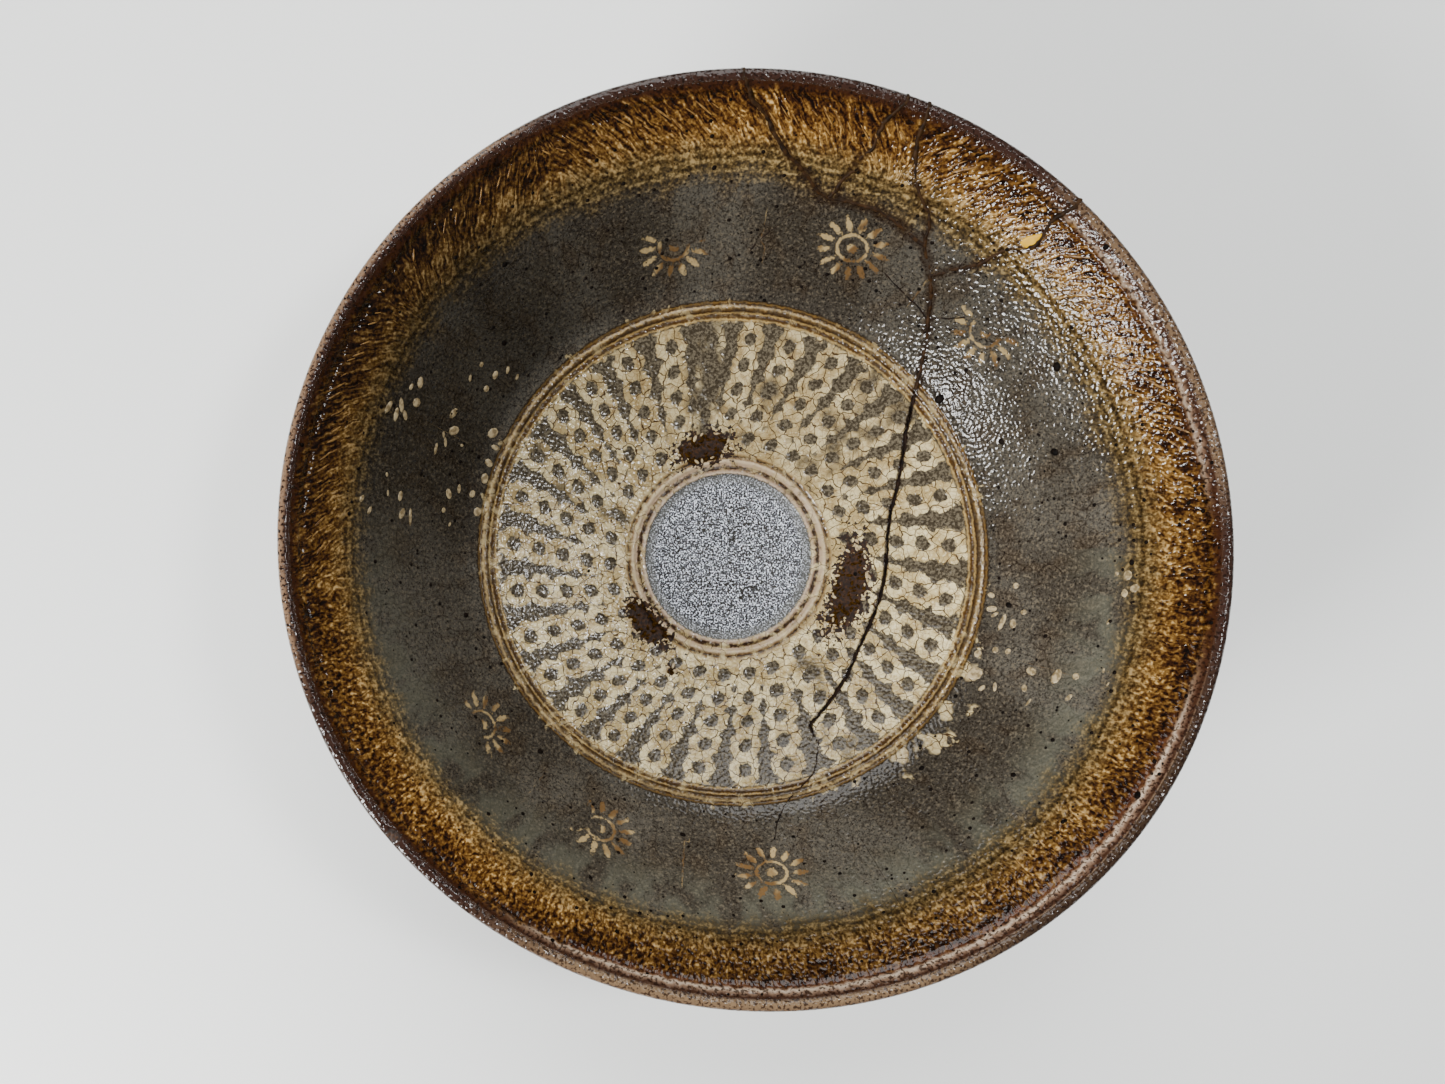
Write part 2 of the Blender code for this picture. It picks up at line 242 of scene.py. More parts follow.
def scaled(vector, share):
    return joinNode("ShaderNodeVectorMath", {0: vector, 3: share}, operation="SCALE").outputs[0]


def newTree(name, sizes):
    tree = bpy.data.node_groups.new(name, "GeometryNodeTree")
    tree.interface.new_socket("Geometry", in_out="INPUT", socket_type="NodeSocketGeometry")
    for label, kind in sizes.items():
        tree.interface.new_socket(label, in_out="INPUT", socket_type="NodeSocket" + kind)
    tree.interface.new_socket("Geometry", in_out="OUTPUT", socket_type="NodeSocketGeometry")
    return tree, addNode(tree, "NodeGroupInput").outputs


def endTree(shape, finish):  # every tree ends in real, smooth faces of one material
    whole = joinNode("GeometryNodeRealizeInstances", {0: shape})
    smooth = joinNode("GeometryNodeSetShadeSmooth", {0: whole.outputs[0]})
    finished = joinNode("GeometryNodeSetMaterial", {0: smooth.outputs[0], "Material": finish})
    joinNode("NodeGroupOutput", {0: finished.outputs[0]})
    return shape.id_data


def readMark(tree, name, kind="FLOAT_VECTOR"):
    return addNode(tree, "GeometryNodeInputNamedAttribute", {"Name": name}, data_type=kind).outputs[0]


def putIn(name, data):
    thing = bpy.data.objects.new(name, data)
    bpy.context.scene.collection.objects.link(thing)
    return thing


def applyModifier(thing, modifier):  # leaves a plain mesh
    bpy.context.view_layer.update()
    graph = bpy.context.evaluated_depsgraph_get()
    mesh = bpy.data.meshes.new_from_object(thing.evaluated_get(graph), depsgraph=graph)
    thing.modifiers.remove(modifier)
    thing.data = mesh
    mesh.name = thing.name


def growPiece(name, mesh, tree, sizes):
    seed = putIn(name, mesh)
    modifier = seed.modifiers.new(tree.name, "NODES")
    modifier.node_group = tree
    for item in tree.interface.items_tree:
        if item.in_out == "INPUT" and item.name in sizes:
            modifier[item.identifier] = sizes[item.name]
    applyModifier(seed, modifier)
    return seed


def finishPiece(piece, slot, *nodes):
    moveSpots(piece.data, np.clip(spotsOf(piece.data), *cadBox))  # nothing stands out of the CAD model's box
    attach(piece, "root")
    if nodes:
        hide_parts(*nodes)
    print(piece.name, len(piece.data.polygons), "faces")


# Paint helpers. A colour in three numbers is as the eye sees it, 0 to 255.

def paint(red, green, blue):
    shares = [value / 255 for value in (red, green, blue)]
    return [v / 12.92 if v < 0.04045 else ((v + 0.055) / 1.055) ** 2.4 for v in shares] + [1]


def asPaint(colour):
    return paint(*colour) if isinstance(colour, tuple) else colour


def ramp(value, low, high):  # 0 below low, 1 above high, smooth between
    return joinNode("ShaderNodeMapRange", {0: value, 1: low, 2: high},
                    interpolation_type="SMOOTHSTEP").outputs[0]


def spread(value, low, high, start, end):
    return joinNode("ShaderNodeMapRange", {0: value, 1: low, 2: high, 3: start, 4: end}).outputs[0]


def mix(share, first, second):
    return joinNode("ShaderNodeMix", {0: share, 6: asPaint(first), 7: asPaint(second)},
                    data_type="RGBA").outputs[2]


def tinted(colour, *coats):  # each coat: its map, where it starts and where it is full, strength, colour
    for noise, low, high, strength, coat in coats:
        colour = mix(times(ramp(noise, low, high), strength), colour, coat)
    return colour


def grain(where, scale, detail=2.0, sides="3D"):
    return joinNode("ShaderNodeTexNoise", {"Vector": where, "Scale": scale, "Detail": detail},
                    noise_dimensions=sides).outputs[0]


def zones(value, low, high, stops):  # colours or plain numbers at values between low and high
    node = joinNode("ShaderNodeValToRGB", {0: spread(value, low, high, 0.0, 1.0)})
    marks = node.color_ramp.elements
    while len(marks) < len(stops):
        marks.new(0.5)
    for mark, (place, colour) in zip(marks, stops):
        mark.position = (place - low) / (high - low)
    for mark, (place, colour) in zip(marks, stops):
        mark.color = paint(*colour) if isinstance(colour, tuple) else (colour, colour, colour, 1)
    return node.outputs[0]


def mapPair(tree, name):
    layer = addNode(tree, "ShaderNodeUVMap", uv_map=name)
    return joinNode("ShaderNodeSeparateXYZ", {0: layer.outputs[0]}).outputs[:2]


def newFinish(name):
    finish = bpy.data.materials.new(name)
    finish.use_nodes = True
    tree = finish.node_tree
    tree.nodes.clear()
    shader = addNode(tree, "ShaderNodeBsdfPrincipled")
    joinNode("ShaderNodeOutputMaterial", {0: shader.outputs[0]})
    where = addNode(tree, "ShaderNodeTexCoord").outputs["Object"]
    return finish, tree, shader, scaled(where, 1 / mm)


def setFinish(tree, shader, colour, roughness, gloss, height, bumpSize):
    bump = joinNode("ShaderNodeBump", {"Height": height, "Strength": 1.0, "Distance": bumpSize * mm})
    for name, value in (("Base Color", colour), ("Roughness", roughness), ("Specular IOR Level", gloss),
                        ("Normal", bump.outputs[0])):
        if isinstance(value, bpy.types.NodeSocket):
            tree.links.new(value, shader.inputs[name])
        else:
            shader.inputs[name].default_value = value


# Glazed bowl

stampRows = {
    "angles": (
        2.5, 16, 27, 39.5, 51, 62.5, 74.5, 85, 95, 106, 118.5, 130, 140.5, 153, 164.5,
        177, 189.5, 202, 213.5, 226, 237, 249, 261, 273.5, 284.5, 300, 312, 323.5, 335.5, 348,
    ),
    "thinness": {3: 0.4, 4: 0.35, 6: 0.3, 8: 0.75, 13: 0.35, 25: 0.3},  # worn chains by number
    "rings": 5,
    "outerRadius": 57.3, "innerRadius": 32.2, "lean": 6.5,
    "dotDepth": 0.2, "dotEdge": (1.0, 2.1), "slipHeight": 0.14, "slipEdge": (3.6, 4.5),
    "outerFade": (61.5, 60.5), "innerFade": (28.6, 29.6), "slipEnd": 66.6,
}
ringStep = (stampRows["outerRadius"] - stampRows["innerRadius"]) / (stampRows["rings"] - 1)
chainTurn = 2 * math.pi / len(stampRows["angles"])

# Stamped flowers: radius, angle, slip left (0 to 1), side that kept it best, share around that kept it
flowers = (
    (79.9, 69.7, 1.0, 260, 1.0), (80.7, 41.7, 1.0, 235, 0.55), (77.6, 102.1, 0.95, 262, 0.5),
    (77.3, 214.1, 0.85, 20, 0.55), (78.2, 243.5, 1.0, 330, 0.7), (80.3, 275.5, 1.1, 300, 0.95),
)
flowerForm = {
    "petals": 13, "petalMiddle": 6.9, "petalHalf": 2.1, "petalWidth": 0.8,
    "ring": 3.7, "ringHalf": 0.55, "dot": 1.5, "depth": 0.12,
    "petalCut": (0.2, 0.42), "petalEnds": (1.4, 2.1), "ringCut": (0.3, 0.8),  # where the press fades out
}

# Scars of the wads: radius, angle, half length around, half width
wadScars = (
    (30.2, 103.0, 7.6, 4.0), (33.8, 345.0, 13.0, 4.6), (28.8, 219.0, 8.0, 3.7), (34.5, 243.0, 1.6, 1.2),
)
scarForm = {"depth": 0.35, "rough": 0.25, "edge": (-0.25, 0.12)}
lipChip = {
    "radius": 103.6, "angle": 219.0, "size": 2.1, "drop": 1.0, "inward": 0.5, "fade": (0.3, 1.0), "bare": 0.9,
}

# Cracks, as points on the inner face: radius in mm, and angle. The seams are glued with lacquer, the long
# crack stands open, and the hair cracks are shut.
gluedSeams = (
    ((86.2, 76.6), (86.5, 78), (87.5, 79.4), (89, 81.1), (90.4, 82.7), (91.5, 84.3), (93.3, 85.8), (95, 87),
     (96.5, 87.9), (98.1, 89.3), (99.3, 90.4), (101.1, 90.9), (103, 91.6)),
    ((86.2, 76.6), (87.6, 75.8), (89.3, 75.5), (90.2, 74.9), (91.4, 74.1), (92.3, 74.6), (93.7, 73.8),
     (95.1, 72.8), (97.6, 73), (99.2, 72.7), (101.1, 71.8), (103, 71.2)),
    ((81.9, 55.6), (82.9, 56.5), (84.1, 58.2), (85.1, 59.2), (86.5, 60), (88, 60.2), (89.3, 61.2),
     (90.5, 62.8), (91.5, 64.2), (92.8, 65.3), (94.5, 66.3), (96.1, 67.2), (98.1, 67.8), (101.3, 68.1),
     (103, 68.4)),
    ((86.2, 76.6), (86.3, 75), (86.6, 72.8), (86.6, 71.1), (86.8, 68.8), (86.4, 67.1), (86.1, 64.8),
     (85.7, 63.1), (85.3, 61.2), (85.1, 59.2)),
    ((81.9, 55.6), (82.9, 54.3), (84.2, 53.6), (85.7, 51.8), (87, 50.8), (88.6, 50), (89.9, 49.6),
     (91.2, 49.2), (92.6, 48.5), (93.6, 47.3), (94.6, 46.4), (96.4, 46.6), (98.5, 47.2), (99.9, 47),
     (101.4, 46.7), (103, 46.5)),
    ((81.9, 55.6), (79.5, 53.2), (75.9, 50.6), (73, 47.9), (69.5, 45.6), (66.1, 43), (63.6, 41.3)),
)
longCrack = (
    (66.1, 43), (61.5, 39.7), (56.6, 35.1), (51.7, 28.4), (47.6, 21.1), (44.5, 15.1), (42.6, 6.6), (42, -6.2),
    (41.8, -15.2), (41.8, -25), (42.4, -35.2), (44.7, -45.6), (46.6, -53.6), (48.3, -60.4), (49.9, -65),
    (51.8, -65.2),
)
hairCracks = (
    ((51.4, -65.0), (53.1, -64), (58.6, -67.6), (60.7, -68.9), (64.6, -75.5), (66.9, -78.7), (71.2, -81.4),
     (74.1, -82.5)),
    ((85.8, 77.5), (84.6, 79), (83.7, 80.5), (82.4, 82.5), (81, 83.2), (77.5, 86.8), (73.4, 89.3)),
    ((75.9, 50.6), (76.6, 53.5), (77.0, 56.5), (77.6, 59.5), (78.4, 62.5)),
    ((75.9, 50.6), (77.4, 49.2), (78.7, 47.4), (80.2, 46.0)),
    ((46.6, -53.6), (49.4, -55.0), (52.0, -58.2), (53.6, -61.0)),
)
# How cracks are laid: points apart, ends under the lip, way over it, grains that bend and swell the line
routeForm = {
    "apart": 0.9, "innerEnd": 102.2, "outerEnd": 101.5, "pastRim": 108, "mapReach": 8,
    "lipTilts": (110, 80, 50, 20, -10, -40), "lipSunk": 1.3, "grains": ((700.0, 3.0), (210.0, 2.0)),
}

wheelWork = {
    "columns": 400, "weld": 0.004 * mm,
    "runs": (  # rows of the inner face: from, to, apart
        (0, 21.0, 1.5), (21.0, 28.8, 0.3), (28.8, 61.4, 0.66), (61.4, 67.2, 0.29), (67.2, 88.0, 0.7),
        (88.0, 95.0, 0.35), (95.0, 98.8, 0.65), (98.8, 102.2, 0.34),
    ),
    "lipTurns": (135, 118, 100, 80, 60, 42, 24, 6, -12, -30), "underGlaze": 0.05, "outerRows": 40,
    "mapPastRim": (105, 0.35),  # the radius in the map goes on from here outside, by mm for each row
}
throwForm = {  # ridges of the thrower's fingers; outside: height and waves per mm, twice
    "from": (66, 70), "ridge": 0.1, "perMm": 0.62, "wander": 0.7, "sway": 0.05,
    "outside": (0.05, 1.9, 0.04, 0.83),
}


def grooveCuts():  # middle radius, half width, depth below the wall; a minus depth is a raised ridge
    return (
        (mirror + 2.3, 0.6, 0.45), (mirror + 3.4, 0.7, -0.25), (mirror + 4.5, 0.65, 0.45),
        (field - 2.4, 0.4, 0.12), (field - 1.2, 0.6, 0.35), (field, 0.8, -0.3), (field + 1.2, 0.6, 0.35),
        (bandRadius - 2.9, 0.35, 0.05), (bandRadius - 0.95, 0.5, 0.06), (bandRadius, 0.5, -0.03),
        (bandRadius + 0.95, 0.5, 0.06), (bandRadius + 2.6, 0.35, 0.05),
        (rim - bowlForm["lipGrooveInset"], 0.7, 0.4),
    )


def bowlProfile():  # rows from the middle of the inner face, over the lip, to the middle of the recess
    inner = np.concatenate([np.arange(start, end - step / 3, step) for start, end, step in wheelWork["runs"]])
    height = wallHeight(inner)
    step = smoothStep(mirror - 0.9, mirror + 0.1, inner)
    height = np.where(inner < mirror + 0.2, floorLevel + bowlForm["mirrorStep"] * step, height)
    rows = list(zip(inner, height))

    bend = lip - wheelWork["underGlaze"]
    for turn in np.radians(wheelWork["lipTurns"]):
        rows.append((rim - bowlForm["lipSlack"] - lip + bend * math.cos(turn),
                     top - lip + bend * math.sin(turn)))

    edge = bowlForm["footEdge"]
    outer = np.linspace(rim - bowlForm["lipGrooveInset"], foot + 3 * edge,
                        wheelWork["outerRows"])
    tilt = wallTilt(outer)
    high, perMm, low, lowPerMm = throwForm["outside"]
    out = wallThickness(outer) + high * np.sin(outer * perMm) + low * np.sin(outer * lowPerMm + 1)
    rows += list(zip(outer + out * np.sin(tilt), wallHeight(outer) - out * np.cos(tilt)))

    wallEnd = rows[-1][1]
    inside = foot - bowlForm["footWidth"]
    recess = floorLevel - bowlForm["floorThickness"]
    rows += [(foot + edge, wallEnd - edge), (foot + 0.3, wallEnd - 1.5 * edge), (foot, wallEnd - 2 * edge)]
    rows += [(foot, 3.0), (foot, edge), (foot - 0.3 * edge, 0.3 * edge), (foot - edge, 0)]
    rows += [(inside + edge, 0), (inside + 0.3 * edge, 0.3 * edge), (inside, edge)]
    rows += [(inside - edge * 0.7, recess - 1.2), (inside - edge * 2, recess)]
    rows += [(inside * share, recess + 0.05 * math.sin(share * 40)) for share in (0.8, 0.6, 0.4, 0.2)]
    rows += [(0, recess)]
    return np.array(rows), len(inner)


def wheelTree():  # turns a profile, drawn in the XZ plane, around Z
    tree, given = newTree("turnOnWheel", {"Columns": "Int", "Weld": "Float", "Finish": "Material"})
    size = addNode(tree, "GeometryNodeAttributeDomainSize", {0: given[0]}, component="MESH")
    rowCount = size.outputs["Point Count"]
    across = add(given["Columns"], 1)
    grid = addNode(tree, "GeometryNodeMeshGrid", {"Vertices X": across, "Vertices Y": rowCount})
    index = addNode(tree, "GeometryNodeInputIndex").outputs[0]
    row = calc("MODULO", index, rowCount)
    share = calc("DIVIDE", calc("FLOOR", calc("DIVIDE", index, rowCount)), given["Columns"])
    place = addNode(tree, "GeometryNodeInputPosition").outputs[0]
    spot = addNode(tree, "GeometryNodeSampleIndex", {0: given[0], 1: place, 2: row}, data_type="FLOAT_VECTOR")
    turned = addNode(tree, "ShaderNodeVectorRotate", {
        "Vector": spot.outputs[0], "Angle": times(share, 2 * math.pi),
    }, rotation_type="Z_AXIS")
    pair = joinNode("ShaderNodeCombineXYZ", {0: share, 1: row})
    held = joinNode("GeometryNodeFieldOnDomain", {0: pair.outputs[0]}, data_type="FLOAT_VECTOR",
                    domain="POINT")
    named = addNode(tree, "GeometryNodeStoreNamedAttribute", {
        0: grid.outputs[0], "Name": "wheelMap", "Value": held.outputs[0],
    }, data_type="FLOAT2", domain="CORNER")
    rowMark = joinNode("GeometryNodeStoreNamedAttribute", {
        0: named.outputs[0], "Name": "wheelRow", "Value": row,
    }, data_type="FLOAT", domain="POINT")
    moved = addNode(tree, "GeometryNodeSetPosition", {0: rowMark.outputs[0], "Position": turned.outputs[0]})
    welded = addNode(tree, "GeometryNodeMergeByDistance", {0: moved.outputs[0], "Distance": given["Weld"]})
    flipped = addNode(tree, "GeometryNodeFlipFaces", {0: welded.outputs[0]})
    return endTree(flipped.outputs[0], given["Finish"])


def stampPlace(radius, degrees):  # number of the chain and of the ring, with shares between them
    inward = (stampRows["outerRadius"] - radius) / (stampRows["outerRadius"] - stampRows["innerRadius"])
    leaned = degrees - stampRows["lean"] * np.clip(inward, 0, 1.3) ** 1.3
    angles = np.array(stampRows["angles"], float)
    count = len(angles)
    longer = np.concatenate([angles[-3:] - 360, angles, angles[:3] + 360])
    chain = np.interp(leaned, longer, np.arange(-3, count + 3))
    return chain, inward * (stampRows["rings"] - 1)


def stampDistance(radius, degrees):  # mm from the middle of the nearest stamped ring
    chain, ring = stampPlace(radius, degrees)
    aside = (chain - np.round(chain)) * radius * chainTurn
    along = (ring - np.clip(np.round(ring), 0, stampRows["rings"] - 1)) * ringStep
    return np.hypot(aside, along)


def flowerPlace(radius, degrees):  # mm up the wall and around it from the nearest flower, and its slip
    best = np.full(radius.shape, 1e9)
    up = np.full(radius.shape, 40.0)
    around = np.zeros(radius.shape)
    kept = np.zeros(radius.shape)
    for middle, angle, left, side, share in flowers:
        rise = (radius - middle) / np.cos(wallTilt(middle))
        aside = np.radians(turnFrom(degrees, angle)) * middle
        far = np.hypot(rise, aside)
        near = far < best
        turn = np.degrees(np.arctan2(aside, rise)) + angle
        off = np.abs(turnFrom(turn, side))
        sideKept = left * (1 - smoothStep(170 * share, 170 * share + 50, off))
        best = np.where(near, far, best)
        up = np.where(near, rise, up)
        around = np.where(near, aside, around)
        kept = np.where(near, sideKept, kept)
    return up, around, kept


def scarDistance(radius, degrees):  # below 0 inside a scar, in shares of its width
    best = np.full(radius.shape, 5.0)
    for middle, angle, length, width in wadScars:
        aside = np.radians(turnFrom(degrees, angle)) * middle
        best = np.minimum(best, np.hypot(aside / length, (radius - middle) / width) - 1)
    return best


def wallRelief(radius, degrees):  # mm that the inner face stands out or lies in
    relief = np.zeros(radius.shape)
    for middle, half, depth in grooveCuts():
        relief -= depth * (1 - smoothStep(0.15 * half, half, np.abs(radius - middle)))
    inRows = smoothStep(*stampRows["outerFade"], radius) * smoothStep(*stampRows["innerFade"], radius)
    far = stampDistance(radius, degrees)
    relief -= inRows * stampRows["dotDepth"] * (1 - smoothStep(*stampRows["dotEdge"], far))
    relief += inRows * stampRows["slipHeight"] * (1 - smoothStep(*stampRows["slipEdge"], far))
    up, around, kept = flowerPlace(radius, degrees)
    out = np.hypot(up, around)
    petalTurn = np.arctan2(around, up) * flowerForm["petals"] / (2 * math.pi)
    petal = 1 - smoothStep(*flowerForm["petalCut"], np.abs(petalTurn - np.round(petalTurn)))
    petal *= 1 - smoothStep(*flowerForm["petalEnds"], np.abs(out - flowerForm["petalMiddle"]))
    ring = 1 - smoothStep(*flowerForm["ringCut"], np.abs(out - flowerForm["ring"]))
    relief -= flowerForm["depth"] * np.maximum(petal, ring)
    scar = scarDistance(radius, degrees)
    rough = scarForm["rough"] * np.sin(radius * 2.7 + degrees * 1.1) * np.sin(degrees * 2.9)
    relief -= (1 - smoothStep(*scarForm["edge"], scar)) * (scarForm["depth"] + rough)
    turn = np.radians(degrees)
    wall = smoothStep(*throwForm["from"], radius)
    wander = throwForm["wander"] * np.sin(2 * turn)
    relief += wall * throwForm["ridge"] * np.sin(radius * throwForm["perMm"] + wander)
    return relief + throwForm["sway"] * np.sin(3 * turn + radius * 0.2)


def setMap(layer, first, second):
    layer.uv.foreach_set("vector", np.stack([first, second], axis=-1).astype(np.float32).ravel())


def addMap(mesh, name, first, second):
    setMap(mesh.uv_layers.new(name=name), first, second)


def routeSide(x, y, route):  # mm from a route on the wall, below 0 on its right, in plan
    radii, turns = np.array(route, float).T
    spotX = radii * np.cos(np.radians(turns))
    spotY = radii * np.sin(np.radians(turns))
    best = np.full(x.shape, 1e9)
    side = np.ones(x.shape)
    for i in range(len(route) - 1):
        alongX, alongY = spotX[i + 1] - spotX[i], spotY[i + 1] - spotY[i]
        t = ((x - spotX[i]) * alongX + (y - spotY[i]) * alongY) / (alongX ** 2 + alongY ** 2)
        t = np.clip(t, 0, 1)
        offX = x - spotX[i] - t * alongX
        offY = y - spotY[i] - t * alongY
        far = np.hypot(offX, offY)
        near = far < best
        best = np.where(near, far, best)
        side = np.where(near, np.sign(alongX * offY - alongY * offX), side)
    return best * side


def makeBowl(finish):
    rows, innerCount = bowlProfile()
    profile = bpy.data.meshes.new("bowlProfile")
    edges = [(i, i + 1) for i in range(len(rows) - 1)]
    profile.from_pydata([(r * mm, 0, z * mm) for r, z in rows], edges, [])
    bowl = growPiece("glazedBowl", profile, wheelTree(), {
        "Columns": wheelWork["columns"], "Weld": wheelWork["weld"], "Finish": finish,
    })
    mesh = bowl.data
    mesh.transform(Matrix.Scale(1 / mm, 4))

    spots = spotsOf(mesh)
    row = np.empty(len(mesh.vertices))
    mesh.attributes["wheelRow"].data.foreach_get("value", row)
    inner = row < innerCount
    radius = np.hypot(spots[:, 0], spots[:, 1])
    degrees = np.degrees(np.arctan2(spots[:, 1], spots[:, 0])) % 360
    lift = np.where(inner, wallRelief(radius, degrees), 0)
    tilt = np.where(radius > mirror, wallTilt(radius), 0)
    outward = (radius - lift * np.sin(tilt)) / np.maximum(radius, 1e-6)
    spots[:, 0] *= outward
    spots[:, 1] *= outward
    spots[:, 2] += lift * np.cos(tilt)
    chipSpot = polarPoint(lipChip["radius"], lipChip["angle"], top)
    near = 1 - smoothStep(*lipChip["fade"], np.linalg.norm(spots - chipSpot, axis=1) / lipChip["size"])
    spots -= near[:, None] * polarPoint(lipChip["inward"], lipChip["angle"], lipChip["drop"])

    corners = np.empty(len(mesh.loops), np.int32)
    mesh.loops.foreach_get("vertex_index", corners)
    wheel = np.empty(len(mesh.loops) * 2, np.float32)
    mesh.uv_layers["wheelMap"].uv.foreach_get("vector", wheel)
    cornerTurn = wheel.reshape(-1, 2)[:, 0].astype(float) * 360
    cornerRadius = radius[corners]
    cornerRow = row[corners]
    chain, ring = stampPlace(cornerRadius, cornerTurn)
    up, around, kept = flowerPlace(cornerRadius, cornerTurn)
    count = len(stampRows["angles"])
    slipLeft = [1 - stampRows["thinness"].get(i % count, 0) for i in range(count + 1)]
    thin = np.interp(chain % count, np.arange(count + 1), slipLeft)
    chip = np.linalg.norm(spots[corners] - chipSpot, axis=1) / lipChip["size"] - lipChip["bare"]
    scar = np.minimum(np.where(cornerRow < innerCount, scarDistance(cornerRadius, cornerTurn), 5), chip)
    mapStart, mapStep = wheelWork["mapPastRim"]
    beyond = np.where(cornerRow < innerCount, cornerRadius, mapStart + (cornerRow - innerCount) * mapStep)
    setMap(mesh.uv_layers["wheelMap"], cornerTurn / 360, beyond / 100)
    addMap(mesh, "stampMap", chain, ring)
    addMap(mesh, "flowerMap", up / 10, around / 10)
    addMap(mesh, "stateMap", scar, np.where(cornerRadius < stampRows["slipEnd"], thin, kept))
    planX = radius * np.cos(np.radians(degrees))
    planY = radius * np.sin(np.radians(degrees))
    far = routeForm["mapReach"]
    crack = np.where(inner, np.clip(routeSide(planX, planY, longCrack), -far, far), far)
    stained = np.full(radius.shape, float(far))
    for route in gluedSeams:
        end, turn = route[-1]
        overLip = ((routeForm["pastRim"], turn),) if end > routeForm["innerEnd"] else ()
        stained = np.minimum(stained, np.abs(routeSide(planX, planY, route + overLip)))
    addMap(mesh, "crackMap", crack[corners] / 10, stained[corners] / 10)
    moveSpots(mesh, placed(spots) * mm)
    return bowl


# Glaze and slip paint, by the maps laid on the bowl

def glazeMaps(tree, where):
    turn, reach = mapPair(tree, "wheelMap")
    chain, ring = mapPair(tree, "stampMap")
    up, around = mapPair(tree, "flowerMap")
    scar, kept = mapPair(tree, "stateMap")
    crack, stained = mapPair(tree, "crackMap")
    patch = grain(where, 0.15, 2, "2D")
    blotch = grain(where, 0.5, 2, "2D")
    fleck = grain(where, 1.35, 2)
    return SimpleNamespace(
        radius=times(reach, 100.0), degrees=times(turn, 360.0), chain=chain, ring=ring, scar=scar, kept=kept,
        up=times(up, 10.0), around=times(around, 10.0), crack=times(crack, 10.0),
        stained=times(stained, 10.0), broad=grain(where, 0.03, 2, "2D"), patch=patch, blotch=blotch,
        fleck=fleck, fine=grain(where, 2.6, 1), glint=grain(where, 2.2, 2, "2D"),
        ripple=grain(where, 1.2, 0), wobble=minus(patch, 0.5), ragged=minus(blotch, 0.5),
        jagged=minus(fleck, 0.5),
    )


def uneven(m, value, wobble=0, ragged=0, jagged=0):  # a value pushed about by coarse, middle and fine grain
    pushes = ((m.wobble, wobble), (m.ragged, ragged), (m.jagged, jagged))
    return add(value, *(times(push, size) for push, size in pushes if size))


def crazeLines(where):  # thin cracks around cells of a few millimetres, coarse and fine
    bent = grain(where, 0.45, 1.0, "2D").node.outputs["Color"]
    moved = vectorCalc("ADD", where, scaled(bent, 1.6))
    lines = []
    for scale, width in ((0.3, 0.055), (0.62, 0.08)):
        cells = joinNode("ShaderNodeTexVoronoi", {"Vector": moved, "Scale": scale},
                         feature="DISTANCE_TO_EDGE", voronoi_dimensions="2D")
        lines.append(minus(1.0, ramp(cells.outputs[0], 0.25 * width, width)))
    return lines


# Painted light and shade on the wall and the band, by angle, partly the glaze's own tone from the firing
wallShade = (
    (0, 1.2), (45, 0.95), (90, 1.0), (135, 0.55), (180, 0.82), (225, 0.95), (270, 1.4), (315, 1.05),
    (359, 1.2),
)
bandShade = (
    (0, 1.0), (45, 1.2), (90, 1.25), (135, 0.5), (180, 0.95), (225, 1.35), (270, 0.85), (315, 0.95),
    (359, 1.0),
)


def shaded(m, colour, shades):
    # painted light and shade: the colour beyond the stamped field is scaled by angle
    paintedShadeByAngle = zones(m.degrees, 0.0, 360.0, tuple((turn, value / 2) for turn, value in shades))
    shade = minus(times(paintedShadeByAngle, 2.0), 1.0)
    return scaled(colour, add(times(shade, ramp(m.radius, 66.0, 72.0)), 1.0))


def greyPaint(m, craze, fineCraze):
    grey = mix(ramp(m.broad, 0.38, 0.62), (84, 79, 71), (103, 99, 91))
    grey = tinted(
        grey, (m.patch, 0.48, 0.72, 0.35, (86, 71, 54)), (m.fleck, 0.52, 0.68, 0.55, (132, 123, 107)),
        (m.fleck, 0.47, 0.34, 0.55, (46, 39, 32)), (m.fine, 0.6, 0.66, 0.7, (30, 22, 16)),
    )
    crazed = largest(times(craze, 0.6), times(fineCraze, 0.3))
    grey = mix(times(crazed, spread(m.patch, 0.35, 0.62, 0.35, 0.9)), grey, (38, 28, 20))
    low = ramp(away(m.degrees, 275.0), 115.0, 70.0)
    milky = times(low, ramp(m.radius, 78.0, 87.0), ramp(m.patch, 0.3, 0.6), 0.5)
    grey = mix(milky, grey, (118, 119, 107))
    inField = mix(ramp(m.fleck, 0.4, 0.62), (84, 76, 63), (126, 118, 102))
    inField = tinted(inField, (m.fine, 0.57, 0.65, 0.6, (52, 42, 32)))
    return mix(ramp(m.radius, 62.4, 61.4), grey, inField)


def creamPaint(m, craze, fineCraze):
    cream = mix(ramp(m.patch, 0.38, 0.64), (190, 173, 132), (224, 211, 172))
    cream = tinted(
        cream, (m.blotch, 0.52, 0.72, 0.45, (164, 141, 103)), (m.fleck, 0.58, 0.74, 0.4, (104, 84, 60)),
        (m.fleck, 0.42, 0.28, 0.6, (238, 230, 204)),
        # painted shade: the cream is darker towards the upper side, at 90 degrees
        (away(m.degrees, 90.0), 110.0, 20.0, 0.3, (122, 105, 80)),
    )
    cream = mix(times(fineCraze, 0.4), cream, (112, 82, 50))
    cream = tinted(cream, (m.radius, 65.6, 67.0, 0.4, (126, 108, 78)))
    return mix(times(craze, 0.9), cream, (66, 42, 24))


